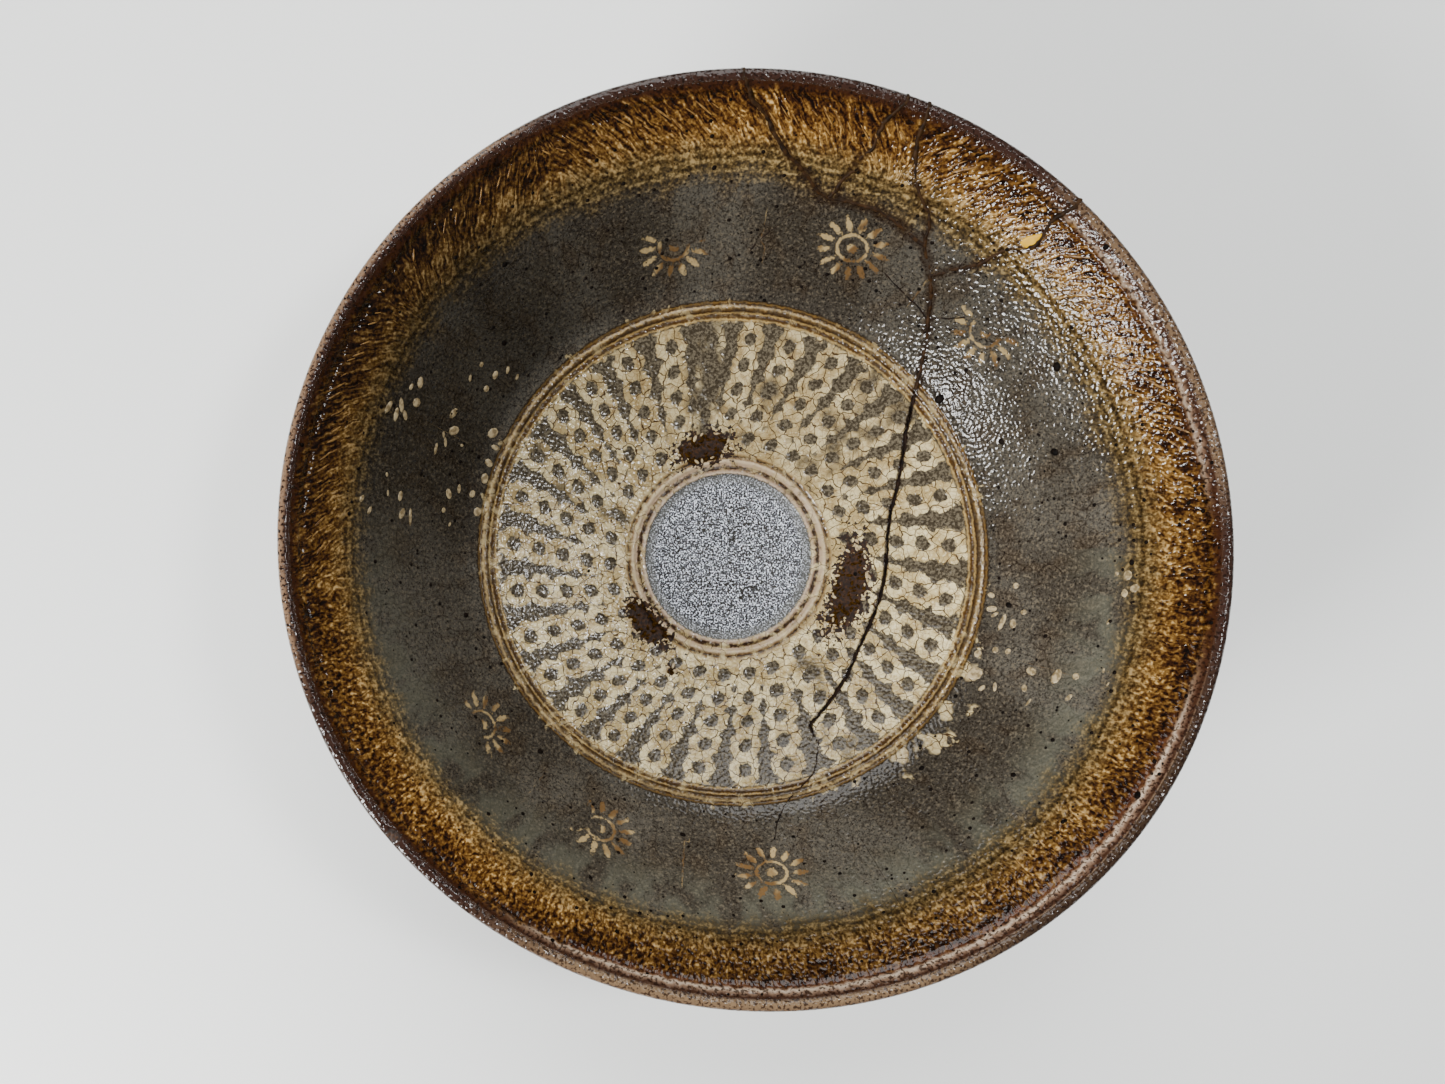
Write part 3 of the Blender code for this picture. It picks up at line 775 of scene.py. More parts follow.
def stampShares(m):  # where slip lies in the stamped field, and where the bare dots are
    aside = times(fromNearest(m.chain), times(m.radius, chainTurn))
    far = distance(aside, times(fromNearest(m.ring), ringStep))
    inRows = times(ramp(m.radius, 28.9, 29.5), ramp(m.radius, 60.6, 60.2))
    dot = times(ramp(uneven(m, far, ragged=1.4, jagged=0.8), 1.95, 1.55), inRows)
    disc = times(ramp(uneven(m, far, ragged=2.0, jagged=0.9), 4.3, 3.95), ramp(m.radius, 61.6, 61.1))
    inside = ramp(uneven(m, m.radius, wobble=8.0), 37.0, 35.0)
    outside = times(ramp(uneven(m, m.radius, ragged=3.0), 60.8, 61.4), ramp(m.patch, 0.5, 0.58))
    slip = largest(disc, inside, outside)
    spill = add(66.4, times(ramp(away(m.degrees, 318.0), 26.0, 8.0), 6.0))
    edge = minus(spill, uneven(m, m.radius, ragged=5.0))
    worn = uneven(m, m.kept, wobble=1.2)
    slip = times(slip, ramp(edge, 0.0, 0.6), ramp(worn, 0.35, 0.75))
    return times(slip, minus(1.0, dot)), dot


def flowerShare(m):  # petals, a ring and a middle, left patchily in slip
    out = distance(m.up, m.around)
    turn = times(calc("ARCTAN2", m.around, m.up), flowerForm["petals"] / (2 * math.pi))
    off = times(fromNearest(turn), out, 2 * math.pi / flowerForm["petals"] / flowerForm["petalWidth"])
    far = calc("DIVIDE", minus(out, flowerForm["petalMiddle"]), flowerForm["petalHalf"])
    petal = ramp(uneven(m, distance(off, far), ragged=1.2, jagged=1.8), 1.12, 0.72)
    ringEdge = uneven(m, away(out, flowerForm["ring"]), ragged=1.0, jagged=1.4)
    ring = ramp(ringEdge, flowerForm["ringHalf"], flowerForm["ringHalf"] - 0.35)
    dot = ramp(uneven(m, out, jagged=2.0), flowerForm["dot"], flowerForm["dot"] - 0.5)
    left = uneven(m, times(m.kept, ramp(m.radius, 66.5, 67.5)), ragged=1.8)
    left = times(ramp(left, 0.4, 0.75), ramp(m.radius, 94.0, 92.0))
    return times(largest(petal, ring, dot), left)


def wheelRings(m, colour):  # rings cut on the wheel, and the bare middle, which shines like metal through glints painted into its colour
    radius = uneven(m, m.radius, ragged=0.6, jagged=0.8)
    double = zones(radius, 60.0, 68.0, (
        (61.6, (142, 120, 80)), (61.95, (186, 164, 118)), (62.35, (100, 76, 42)), (62.95, (88, 64, 32)),
        (63.35, (178, 154, 106)), (63.8, (66, 44, 22)), (64.5, (112, 92, 60)), (65.0, (194, 172, 130)),
        (65.4, (74, 52, 28)), (65.9, (134, 110, 68)), (66.3, (54, 40, 26)), (66.8, (84, 76, 64)),
    ))
    share = times(ramp(radius, 61.4, 61.8), ramp(radius, 66.7, 66.2))
    colour = mix(times(share, spread(m.blotch, 0.35, 0.65, 0.55, 1.0)), colour, double)
    # the dark line at 22.5, where the middle steps down, is painted shade
    around = zones(radius, 21.0, 29.0, (
        (21.8, (98, 96, 92)), (22.5, (70, 62, 56)), (22.9, (200, 184, 166)), (23.6, (160, 140, 120)),
        (24.0, (62, 44, 28)), (24.6, (80, 60, 42)), (25.0, (180, 160, 138)), (26.2, (200, 184, 158)),
        (26.8, (140, 116, 86)), (27.2, (46, 30, 16)), (27.7, (150, 128, 94)), (28.7, (204, 190, 152)),
    ))
    share = times(ramp(radius, 21.6, 22.0), ramp(radius, 28.6, 27.9))
    colour = mix(times(share, spread(m.blotch, 0.34, 0.58, 0.25, 1.0)), colour, around)
    # painted glints: near-white specks in the middle's colour stand in for sparkling reflections
    glintMask = add(times(m.glint, 0.7), times(m.blotch, 0.15), times(m.fleck, 0.15))
    mirrorWithPaintedGlints = mix(ramp(glintMask, 0.42, 0.52), (50, 49, 46), (120, 122, 127))
    mirrorWithPaintedGlints = mix(ramp(glintMask, 0.53, 0.59), mirrorWithPaintedGlints, (240, 244, 252))
    mirrorWithPaintedGlints = tinted(mirrorWithPaintedGlints, (radius, 19.0, 21.4, 0.6, (122, 122, 118)))
    dirt = times(ramp(m.fleck, 0.47, 0.4), ramp(m.patch, 0.6, 0.42), ramp(m.radius, 20.0, 11.0))
    mirrorWithPaintedGlints = mix(dirt, mirrorWithPaintedGlints, (52, 45, 24))
    return mix(ramp(radius, 22.7, 22.2), colour, mirrorWithPaintedGlints)


def bandPaint(m, colour):  # iron-brown hatched band, ochre where it fades into the grey
    hatchSide = zones(m.degrees, 0.0, 360.0, (
        (0, 0.5), (12, 1.0), (66, 1.0), (70, 0.0), (117, 0.0), (120, 1.0), (141, 1.0),
        (149, 0.0), (181, 0.0), (190, 0.5), (346, 0.5),
    ))
    lean = times(minus(hatchSide, 0.5), 2.0)
    combed = calc("ABSOLUTE", lean)
    inBand = minus(m.radius, 97.0)
    arc = add(times(m.degrees, 97 * math.pi / 180), times(inBand, 1.1, lean))
    at = joinNode("ShaderNodeCombineXYZ", {
        0: uneven(m, arc, wobble=3.0, ragged=1.6), 1: times(inBand, spread(combed, 0.0, 1.0, 0.8, 0.34)),
    })
    streak = grain(at.outputs[0], 1.15, 1.5, "2D")
    outward = times(ramp(m.radius, 89.0, 102.0), -0.42)
    tone = uneven(m, times(minus(streak, 0.5), 1.35), wobble=0.5, jagged=1.1)
    brown = zones(add(tone, outward, 0.74), 0.0, 1.0, (
        (0.04, (32, 17, 9)), (0.28, (68, 43, 20)), (0.5, (106, 78, 40)), (0.72, (142, 114, 68)),
        (0.96, (194, 168, 124)),
    ))
    start = zones(m.degrees, 0.0, 360.0, (
        (0, 0.25), (20, 0.05), (110, 0.1), (140, 0.7), (180, 0.9), (230, 0.8), (270, 0.7), (300, 0.3),
        (340, 0.6), (359, 0.25),
    ))
    edge = minus(uneven(m, m.radius, wobble=3.6, ragged=1.6, jagged=4.0), times(start, 2.6))
    lines = calc("SINE", times(uneven(m, m.radius, wobble=0.6), 2 * math.pi / 1.5))
    lineTone = uneven(m, times(lines, 0.17), ragged=0.8, jagged=2.0)
    ochre = zones(add(lineTone, 0.5), 0.0, 1.0, (
        (0.1, (56, 45, 29)), (0.4, (89, 75, 50)), (0.65, (113, 97, 67)), (0.9, (148, 131, 97)),
    ))
    band = mix(ramp(uneven(m, m.radius, ragged=4.5), 90.0, 96.0), ochre, brown)
    # painted light and shade on the band, by angle
    band = shaded(m, band, bandShade)
    return mix(ramp(edge, 85.4, 90.2), colour, band), streak


def lipPaint(m, colour):  # dark lip, with a pale line inside it on the lower side and at the upper right: a painted highlight, in a paler lip tone that is partly painted sheen
    radius = uneven(m, m.radius, jagged=0.8)
    dark = zones(radius, 98.0, 112.0, (
        (100.6, (86, 56, 30)), (101.6, (76, 48, 30)), (103.5, (88, 66, 52)), (105.5, (76, 56, 48)),
        (108.5, (74, 60, 50)), (111.0, (84, 72, 58)),
    ))
    dark = tinted(dark, (m.fleck, 0.48, 0.36, 0.65, (34, 22, 16)))
    # painted highlight: the bright line at 100.5 and the paler tone around it stand in for light on the lip,
    # partly its own paler glaze
    pale = zones(uneven(m, m.radius, ragged=1.2), 98.0, 112.0, (
        (98.4, (98, 64, 32)), (99.3, (84, 44, 24)), (99.9, (118, 86, 64)), (100.5, (206, 190, 172)),
        (101.0, (150, 128, 110)), (101.6, (84, 60, 46)), (103.0, (128, 108, 90)), (105.4, (146, 126, 102)),
        (107.0, (118, 98, 80)), (108.5, (66, 50, 42)),
    ))
    shadow = times(ramp(m.degrees, 288.0, 308.0), ramp(radius, 103.4, 105.2), 0.8)
    pale = mix(shadow, pale, (58, 43, 34))
    pale = tinted(pale, (m.fleck, 0.49, 0.4, 0.75, (54, 36, 28)))
    # the upper right, where the painted highlight on the lip also shows
    left = times(ramp(away(m.degrees, 27.0), 27.0, 15.0), 0.7)
    lower = largest(ramp(away(m.degrees, 290.0), 62.0, 40.0), left)
    tanSide = ramp(away(m.degrees, 158.0), 44.0, 32.0)
    tan = times(tanSide, ramp(radius, 105.4, 106.2), ramp(radius, 109.4, 108.4), ramp(m.fleck, 0.4, 0.48))
    lipColour = mix(tan, mix(lower, dark, pale), (142, 120, 100))
    start = add(uneven(m, m.radius, ragged=2.4), times(lower, 1.7))
    return mix(ramp(start, 100.2, 102.0), colour, lipColour)


def outerPaint(m, colour):  # outside: a grey-brown glaze, and bare clay on the foot
    outer = mix(ramp(m.patch, 0.4, 0.62), (84, 72, 56), (110, 99, 80))
    outer = tinted(
        outer, (m.fleck, 0.46, 0.3, 0.75, (44, 33, 22)), (m.fleck, 0.56, 0.72, 0.5, (144, 132, 108)),
    )
    colour = mix(ramp(m.radius, 109.6, 111.6), colour, outer)
    clay = mix(ramp(m.fine, 0.4, 0.62), (118, 82, 58), (140, 104, 75))
    clay = tinted(clay, (m.fleck, 0.5, 0.3, 0.6, (70, 47, 31)))
    bare = ramp(uneven(m, m.radius, ragged=1.2), 122.6, 123.0)
    return mix(bare, colour, clay), bare


def damagePaint(m, colour):  # stain beside the seams, dark lips of the open crack as painted shade, burnt clay in the scars
    colour = tinted(
        colour, (uneven(m, m.stained, jagged=1.4), 1.5, 0.5, 0.5, (50, 30, 15)),
        # painted shade: the dark lips of the open crack
        (uneven(m, calc("ABSOLUTE", m.crack), jagged=0.8), 0.8, 0.3, 0.85, (36, 20, 12)),
    )
    scarred = ramp(uneven(m, m.scar, ragged=1.7, jagged=1.6), 0.14, 0.07)
    return mix(scarred, colour, mix(ramp(m.fleck, 0.42, 0.62), (50, 29, 2), (80, 52, 8))), scarred


glazeForm = {"deepen": 1.35, "smooth": 0.05, "dull": 0.12, "bareRough": 0.6, "gloss": 0.26, "bump": 0.15}


def stonewareFinish():
    finish, tree, shader, where = newFinish("glazedStoneware")
    m = glazeMaps(tree, where)
    craze, fineCraze = crazeLines(where)
    slip, dot = stampShares(m)
    colour = mix(slip, greyPaint(m, craze, fineCraze), creamPaint(m, craze, fineCraze))
    petal = mix(ramp(m.patch, 0.42, 0.58), (192, 172, 132), (132, 106, 72))
    colour = mix(times(flowerShare(m), 0.8), colour, petal)
    # painted light and shade by angle on the wall beyond the stamped field
    colour = wheelRings(m, shaded(m, colour, wallShade))
    colour, streak = bandPaint(m, colour)
    colour, bare = outerPaint(m, lipPaint(m, colour))
    colour, scarred = damagePaint(m, colour)
    deep = joinNode("ShaderNodeGamma", {0: colour, 1: glazeForm["deepen"]}).outputs[0]
    rough = add(spread(m.blotch, 0.3, 0.7, glazeForm["smooth"], glazeForm["dull"]),
                times(largest(scarred, bare), glazeForm["bareRough"]))
    onSilver = ramp(m.radius, 22.6, 21.8)
    onBand = ramp(m.radius, 90.0, 94.0)
    height = add(times(m.ripple, 1.3), times(m.fleck, 0.35), times(onSilver, m.glint, 0.9),
                 times(onBand, streak, 1.1))
    height = minus(height, times(dot, 0.2))
    setFinish(tree, shader, deep, rough, glazeForm["gloss"], height, glazeForm["bump"])
    return finish


def simpleFinish(name, first, second, scale, roughness, shine=0.35):  # two colours in soft patches
    finish, tree, shader, where = newFinish(name)
    patches = grain(where, scale, 2)
    setFinish(tree, shader, mix(ramp(patches, 0.35, 0.65), first, second), roughness, shine, patches, 0.05)
    return finish


print("bowl")
bowl = makeBowl(stonewareFinish())


# Lacquer in the glued seams, and hairline cracks

seamForm = {
    "spacing": 0.5, "bead": 0.55, "sunk": 0.34,
    "uneven": 0.45, "wander": 0.34, "sides": 10, "seed": 4,
}
hairForm = {
    "spacing": 0.7, "bead": 0.19, "sunk": 0.07,
    "uneven": 0.7, "wander": 0.35, "sides": 5, "seed": 9,
}
crackForm = {
    "spacing": 0.45, "bead": 0.44, "sunk": 0.1,
    "uneven": 0.6, "wander": 0.34, "sides": 6, "seed": 2,
}


def routeMesh(name, routes, sunk, overLip=()):
    spots = []
    edges = []
    for number, route in enumerate(routes):
        radii, turns = np.array(route, float).T
        lengths = np.hypot(np.diff(radii), np.radians(np.diff(turns)) * radii[1:])
        steps = np.concatenate([[0], np.cumsum(lengths)])
        fineSteps = np.linspace(0, steps[-1], max(3, int(steps[-1] / routeForm["apart"])))
        radii = np.interp(fineSteps, steps, radii)
        turns = np.interp(fineSteps, steps, turns)
        line = list(wallPoint(np.minimum(radii, routeForm["innerEnd"]), turns, -sunk))
        if number in overLip:
            line += lipWay(turns[-1], sunk)
            back = radii[::-1]
            back = back[back < routeForm["outerEnd"]]
            backTurns = turns[::-1][-len(back):]
            line += list(wallPoint(back, backTurns, sunk - wallThickness(back)))
        edges += [(len(spots) + i, len(spots) + i + 1) for i in range(len(line) - 1)]
        spots += line
    mesh = bpy.data.meshes.new(name)
    mesh.from_pydata([tuple(spot) for spot in placed(np.array(spots)) * mm], edges, [])
    return mesh


def lipWay(degrees, sunk):  # over the lip, from inside to outside
    bend = lip - routeForm["lipSunk"] * sunk
    tilts = np.radians(routeForm["lipTilts"])
    across = rim - lip + bend * np.cos(tilts)
    return list(polarPoint(across, degrees, top - lip + bend * np.sin(tilts)))


def beadTree():  # a bead of uneven width along each route
    tree, given = newTree("runBead", {
        "Spacing": "Float", "Bead": "Float", "Uneven": "Float", "Wander": "Float", "Sides": "Int",
        "Seed": "Float", "Finish": "Material",
    })
    route = joinNode("GeometryNodeMeshToCurve", {0: given[0]})
    even = joinNode("GeometryNodeResampleCurve", {"Curve": route.outputs[0], "Length": given["Spacing"]},
                    mode="LENGTH")
    place = addNode(tree, "GeometryNodeInputPosition").outputs[0]
    bent, swell = (joinNode("ShaderNodeTexNoise", {
        "Vector": place, "W": given["Seed"], "Scale": scale, "Detail": detail,
    }, noise_dimensions="4D") for scale, detail in routeForm["grains"])
    aside = vectorCalc("SUBTRACT", bent.outputs["Color"], (0.5, 0.5, 0.5))
    level = vectorCalc("MULTIPLY", aside, (1.0, 1.0, 0.3))
    moved = joinNode("GeometryNodeSetPosition", {
        0: even.outputs[0], "Offset": scaled(level, times(given["Wander"], 4.0)),
    })
    width = add(1.0, times(minus(swell.outputs[0], 0.5), times(given["Uneven"], 2.5)))
    ring = joinNode("GeometryNodeCurvePrimitiveCircle", {
        "Resolution": given["Sides"], "Radius": given["Bead"],
    })
    bead = joinNode("GeometryNodeCurveToMesh", {
        "Curve": moved.outputs[0], "Profile Curve": ring.outputs[0], "Scale": width, "Fill Caps": True,
    })
    return endTree(bead.outputs[0], given["Finish"])


def layBead(name, routes, form, tree, finish, overLip=()):
    return growPiece(name, routeMesh(name, routes, form["sunk"], overLip), tree, {
        "Spacing": form["spacing"] * mm, "Bead": form["bead"] * mm, "Uneven": form["uneven"],
        "Wander": form["wander"] * mm, "Sides": form["sides"], "Seed": float(form["seed"]), "Finish": finish,
    })


def cutCrack(body, cutter):  # opens the long crack in the glaze
    cut = body.modifiers.new("crack", "BOOLEAN")
    cut.operation = "DIFFERENCE"
    cut.object = cutter
    # the cut walls take the cutter's dark finish: painted shade inside the gap
    cut.material_mode = "TRANSFER"
    applyModifier(body, cut)
    bpy.data.objects.remove(cutter)


print("cracks")
beads = beadTree()
lacquer = simpleFinish("brownLacquer", (26, 15, 6), (52, 33, 14), 0.6, 0.6, shine=0.1)
# dark finish for the hair cracks' own lines, and painted shade on the open crack's cut walls
darkLine = simpleFinish("crackDirtAndShade", (16, 10, 7), (36, 22, 13), 0.5, 0.7, shine=0.1)
cutCrack(bowl, layBead("longCrackTool", [longCrack], crackForm, beads, darkLine))
finishPiece(bowl, "glazed_stoneware", "bowl")
seams = layBead("lacquerSeams", gluedSeams, seamForm, beads, lacquer, overLip=(0, 1, 2, 4))
finishPiece(seams, "glazed_stoneware")
finishPiece(layBead("hairCracks", hairCracks, hairForm, beads, darkLine), "glazed_stoneware")


# Iron spots, slip strokes and grit, set into the glaze

spotForm = {
    "shape": (1.15, 0.95, 0.3), "lift": 0.02, "spin": 7, "segments": 8, "rings": 4, "uneven": 0.3, "seed": 11,
}

# Big iron spots: radius, angle, size
ironSpots = (
    (67.3, 36.9, 1.15), (78.2, 344.4, 0.6), (73.4, 22.7, 0.65), (71, 349.2, 0.6), (80.8, 17.3, 0.85),
    (89.5, 357.6, 0.55), (86.3, 30.1, 0.95), (101.6, 40.1, 0.8), (87.3, 130.5, 0.6), (77.6, 138.5, 0.7),
    (70.7, 193, 0.65), (71.9, 225.5, 0.75), (74, 259.2, 0.85), (72, 310.8, 0.6), (83.8, 320, 0.55),
    (84.6, 128, 0.5), (75.2, 62, 0.45), (82.2, 66.5, 0.5), (79.1, 88, 0.45), (89.3, 95, 0.5),
    (100.2, 326.5, 0.9), (34.5, 352, 0.5), (38.1, 186, 0.4), (66.8, 298, 0.5), (88, 268, 0.45),
    (76, 6, 0.45), (69.5, 205, 0.5),
)


def pressTree():  # lenses pressed into the face, turned and sized point by point
    tree, given = newTree("pressIn", {
        "Segments": "Int", "Rings": "Int", "Uneven": "Float", "Seed": "Int", "Finish": "Material",
    })
    lens = joinNode("GeometryNodeMeshUVSphere", {
        "Segments": given["Segments"], "Rings": given["Rings"], "Radius": 1.0,
    })
    points = joinNode("GeometryNodeMeshToPoints", {0: given[0]})
    turned = joinNode("FunctionNodeEulerToRotation", {0: readMark(tree, "facing")})
    chance = joinNode("FunctionNodeRandomValue", {
        2: minus(1.0, given["Uneven"]), 3: add(1.0, given["Uneven"]), "Seed": given["Seed"],
    }, data_type="FLOAT")
    pressed = joinNode("GeometryNodeInstanceOnPoints", {
        "Points": points.outputs[0], "Instance": lens.outputs[0], "Rotation": turned.outputs[0],
        "Scale": scaled(readMark(tree, "size"), chance.outputs[1]),
    })
    return endTree(pressed.outputs[0], given["Finish"])


def pointMesh(name, radii, turns, sizes, swings, lift=0.0):
    radii = np.asarray(radii, float)
    turns = np.asarray(turns, float)
    mesh = bpy.data.meshes.new(name)
    mesh.from_pydata([tuple(spot) for spot in placed(wallPoint(radii, turns, lift)) * mm], [], [])
    facings = []
    for radius, turn, swing in zip(radii, np.radians(turns), np.radians(swings)):
        tilt = float(wallTilt(radius))
        upWall = Vector((math.cos(tilt) * math.cos(turn), math.cos(tilt) * math.sin(turn), math.sin(tilt)))
        aside = Vector((-math.sin(turn), math.cos(turn), 0))
        normal = upWall.cross(aside)
        long = aside * math.cos(swing) + upWall * math.sin(swing)
        facings += list(Matrix((long, normal.cross(long), normal)).transposed().to_euler())
    for label, values in (("facing", facings), ("size", np.asarray(sizes).ravel() * mm)):
        layer = mesh.attributes.new(label, "FLOAT_VECTOR", "POINT")
        layer.data.foreach_set("vector", np.asarray(values, np.float32))
    return mesh


press = pressTree()


def pressPiece(name, finish, *place):
    return growPiece(name, pointMesh(name, *place), press, {
        "Segments": spotForm["segments"], "Rings": spotForm["rings"], "Uneven": spotForm["uneven"],
        "Seed": spotForm["seed"], "Finish": finish,
    })


# Dabs of slip left from worn flowers: radius, angle, half length, half width, swing from lying around
slipDabs = (
    (86, 153.1, 1.4, 0.7, 153), (85.1, 156.1, 1.3, 1.1, 156), (87.1, 154.4, 0.7, 0.4, 4),
    (89.3, 158.8, 1.4, 0.5, 9), (87.6, 159.3, 1.5, 0.5, 169), (87.3, 157.7, 1.6, 0.5, 148),
    (86.1, 158.8, 1.2, 0.5, 139), (78.3, 144.2, 1, 0.7, 144), (75.1, 143.9, 1, 0.6, 154),
    (75, 147, 0.8, 0.7, 57), (73.8, 141.5, 1, 0.4, 142), (78.6, 147.4, 1, 0.4, 147),
    (71.4, 141.1, 1.1, 0.5, 151), (78.1, 154.3, 1.4, 0.7, 19), (76.6, 157, 1.5, 0.9, 57),
    (78.2, 158.6, 1.1, 0.4, 149), (77.4, 159.7, 1.3, 0.4, 150), (78.7, 161.5, 1.4, 0.4, 171),
    (74.2, 158.8, 0.6, 0.4, 69), (69.1, 153.5, 1.5, 1, 43), (67.2, 156, 1.4, 0.6, 86),
    (67.3, 159.7, 1.3, 0.8, 110), (67.1, 163.2, 1.4, 0.9, 173), (74, 168.6, 1.5, 0.8, 149),
    (72.1, 167, 1.5, 0.6, 167), (68.9, 167.2, 1.5, 1.1, 37), (67, 170.7, 1.4, 1.1, 21),
    (74.5, 171.9, 1.1, 0.8, 22), (72.9, 174.4, 0.8, 0.4, 24), (83.3, 171.3, 1.4, 0.7, 1),
    (85.6, 171.3, 1.1, 0.4, 171), (82.6, 174.1, 1.6, 0.8, 24), (80.9, 174.4, 2.1, 0.4, 174),
    (90, 173, 1, 0.5, 23), (88.4, 174.5, 1, 0.4, 25), (86.3, 168.5, 0.6, 0.4, 159),
    (68.5, 333.5, 2.1, 1.3, 74), (67.7, 337.7, 1.2, 1.1, 18), (71.3, 331.3, 1.3, 0.7, 31),
    (73.3, 332.5, 1.1, 0.4, 152), (77.7, 337.6, 1.2, 0.7, 98), (81.8, 338.1, 2.3, 1.2, 8),
    (84.5, 338.9, 0.7, 0.6, 69), (84.7, 335.3, 1.5, 0.7, 25), (77.8, 334.3, 0.9, 0.6, 144),
    (79.4, 332.2, 1.6, 0.4, 12), (89.2, 339.1, 0.8, 0.3, 19), (88, 340.9, 0.9, 0.4, 171),
    (71.9, 353.3, 0.7, 0.6, 83), (67.3, 350.9, 1.3, 0.8, 111), (67.8, 347.9, 1.7, 0.8, 78),
    (68.7, 346.8, 1.7, 0.5, 47), (70.5, 345.7, 1.9, 0.5, 11), (72.5, 345.6, 1, 0.6, 161),
    (73.9, 348.2, 0.7, 0.5, 78), (89, 355.7, 1.5, 1.1, 16), (87.4, 355.9, 0.7, 0.6, 86),
    (90.1, 353.8, 1.3, 1, 64), (88.7, 353, 1.1, 1, 83), (87, 348.4, 0.9, 0.4, 18), (73, 340, 0.9, 0.7, 30),
    (70.7, 339.6, 0.7, 0.6, 70),
)
dabForm = {"shape": (1.1, 1.25), "height": 0.13, "lift": -0.03}


def laySlipDabs(finish):
    radii, turns, longs, wides, swings = np.array(slipDabs, float).T
    longer, wider = dabForm["shape"]
    shapes = np.stack([longs * longer, wides * wider, np.full(len(longs), dabForm["height"])], axis=-1)
    lift = wallRelief(radii, turns) + dabForm["lift"]
    return pressPiece("slipDabs", finish, radii, turns, shapes, swings, lift)


speckForm = {
    "perSquareMetre": 70000.0, "least": 0.13, "most": 0.6, "flat": 0.35, "fromRow": 108, "seed": 5,
}


def speckTree():  # fine iron specks strewn over the wall above the stamped field
    tree, given = newTree("strewSpecks", {
        "Density": "Float", "Least": "Float", "Most": "Float", "Flat": "Float", "From Row": "Int",
        "To Row": "Int", "Seed": "Int", "Finish": "Material",
    })
    row = readMark(tree, "wheelRow", "FLOAT")
    above, below = (joinNode("FunctionNodeCompare", {0: row, 1: given[end]}, operation=operation).outputs[0]
                    for end, operation in (("From Row", "GREATER_THAN"), ("To Row", "LESS_THAN")))
    wall = joinNode("FunctionNodeBooleanMath", {0: above, 1: below}, operation="AND").outputs[0]
    strewn = joinNode("GeometryNodeDistributePointsOnFaces", {
        "Mesh": given[0], "Selection": wall, "Density": given["Density"], "Seed": given["Seed"],
    })
    chance = joinNode("FunctionNodeRandomValue", {2: 0.0, 3: 1.0, "Seed": given["Seed"]}, data_type="FLOAT")
    small = calc("POWER", chance.outputs[1], 4.0)
    size = add(given["Least"], times(small, minus(given["Most"], given["Least"])))
    scale = joinNode("ShaderNodeCombineXYZ", {0: size, 1: size, 2: times(size, given["Flat"])})
    grit = addNode(tree, "GeometryNodeMeshIcoSphere", {"Radius": 1.0, "Subdivisions": 1})
    specks = joinNode("GeometryNodeInstanceOnPoints", {
        "Points": strewn.outputs[0], "Instance": grit.outputs[0], "Rotation": strewn.outputs["Rotation"],
        "Scale": scale.outputs[0],
    })
    return endTree(specks.outputs[0], given["Finish"])


def layIronSpots(finish):
    radii, turns, sizes = np.array(ironSpots).T
    shapes = sizes[:, None] * spotForm["shape"]
    lift = wallRelief(radii, turns) + spotForm["lift"]
    return pressPiece("ironSpots", finish, radii, turns, shapes, turns * spotForm["spin"], lift)


def strewSpecks(finish):
    return growPiece("ironSpecks", bowl.data.copy(), speckTree(), {
        "Density": speckForm["perSquareMetre"], "Least": speckForm["least"] * mm,
        "Most": speckForm["most"] * mm, "Flat": speckForm["flat"], "From Row": speckForm["fromRow"],
        "To Row": bowlProfile()[1], "Seed": speckForm["seed"], "Finish": finish,
    })


# Combed strokes of slip on the band: first and last angle, and which way they lean
combRuns = ((13, 67, -1), (69, 119, 1), (121, 141, -1), (148, 182, 1))
combForm = {
    "every": 1.8, "radius": 96.2, "apart": 1.3, "shift": 0.4, "scatter": 2.6, "lean": 48,
    "half": 2.4, "width": 0.19, "height": 0.1, "turnScatter": 0.45, "leanScatter": 9,
    "halfShare": (0.45, 1.2), "heightShare": (0.5, 1.1), "seed": 3,
}


def layCombStrokes(finish):
    chance = np.random.default_rng(combForm["seed"])
    radii, turns, swings, shapes = [], [], [], []
    for first, last, side in combRuns:
        for turn in np.arange(first, last, combForm["every"]):
            for level in (-1, 1):
                middle = combForm["radius"] + level * combForm["apart"]
                radii.append(middle + chance.uniform(-0.5, 0.5) * combForm["scatter"])
                aside = level * combForm["shift"] + chance.uniform(-1, 1) * combForm["turnScatter"]
                turns.append(turn + aside)
                swings.append(side * (combForm["lean"] + chance.uniform(-1, 1) * combForm["leanScatter"]))
                shapes.append((combForm["half"] * chance.uniform(*combForm["halfShare"]), combForm["width"],
                               combForm["height"] * chance.uniform(*combForm["heightShare"])))
    return pressPiece("combStrokes", finish, radii, turns, shapes, swings)


gritForm = {
    "perMm": 13.75, "least": 0.2, "most": 0.62, "shape": (1.5, 0.7, 0.35), "scrapShare": 0.3,
    "scrapOut": (0.75, 1.15), "gritOut": 0.9, "gritLift": -0.25, "scrapLift": -0.05,
    "gritSpin": 31, "scrapSpin": 47, "seed": 8,
}


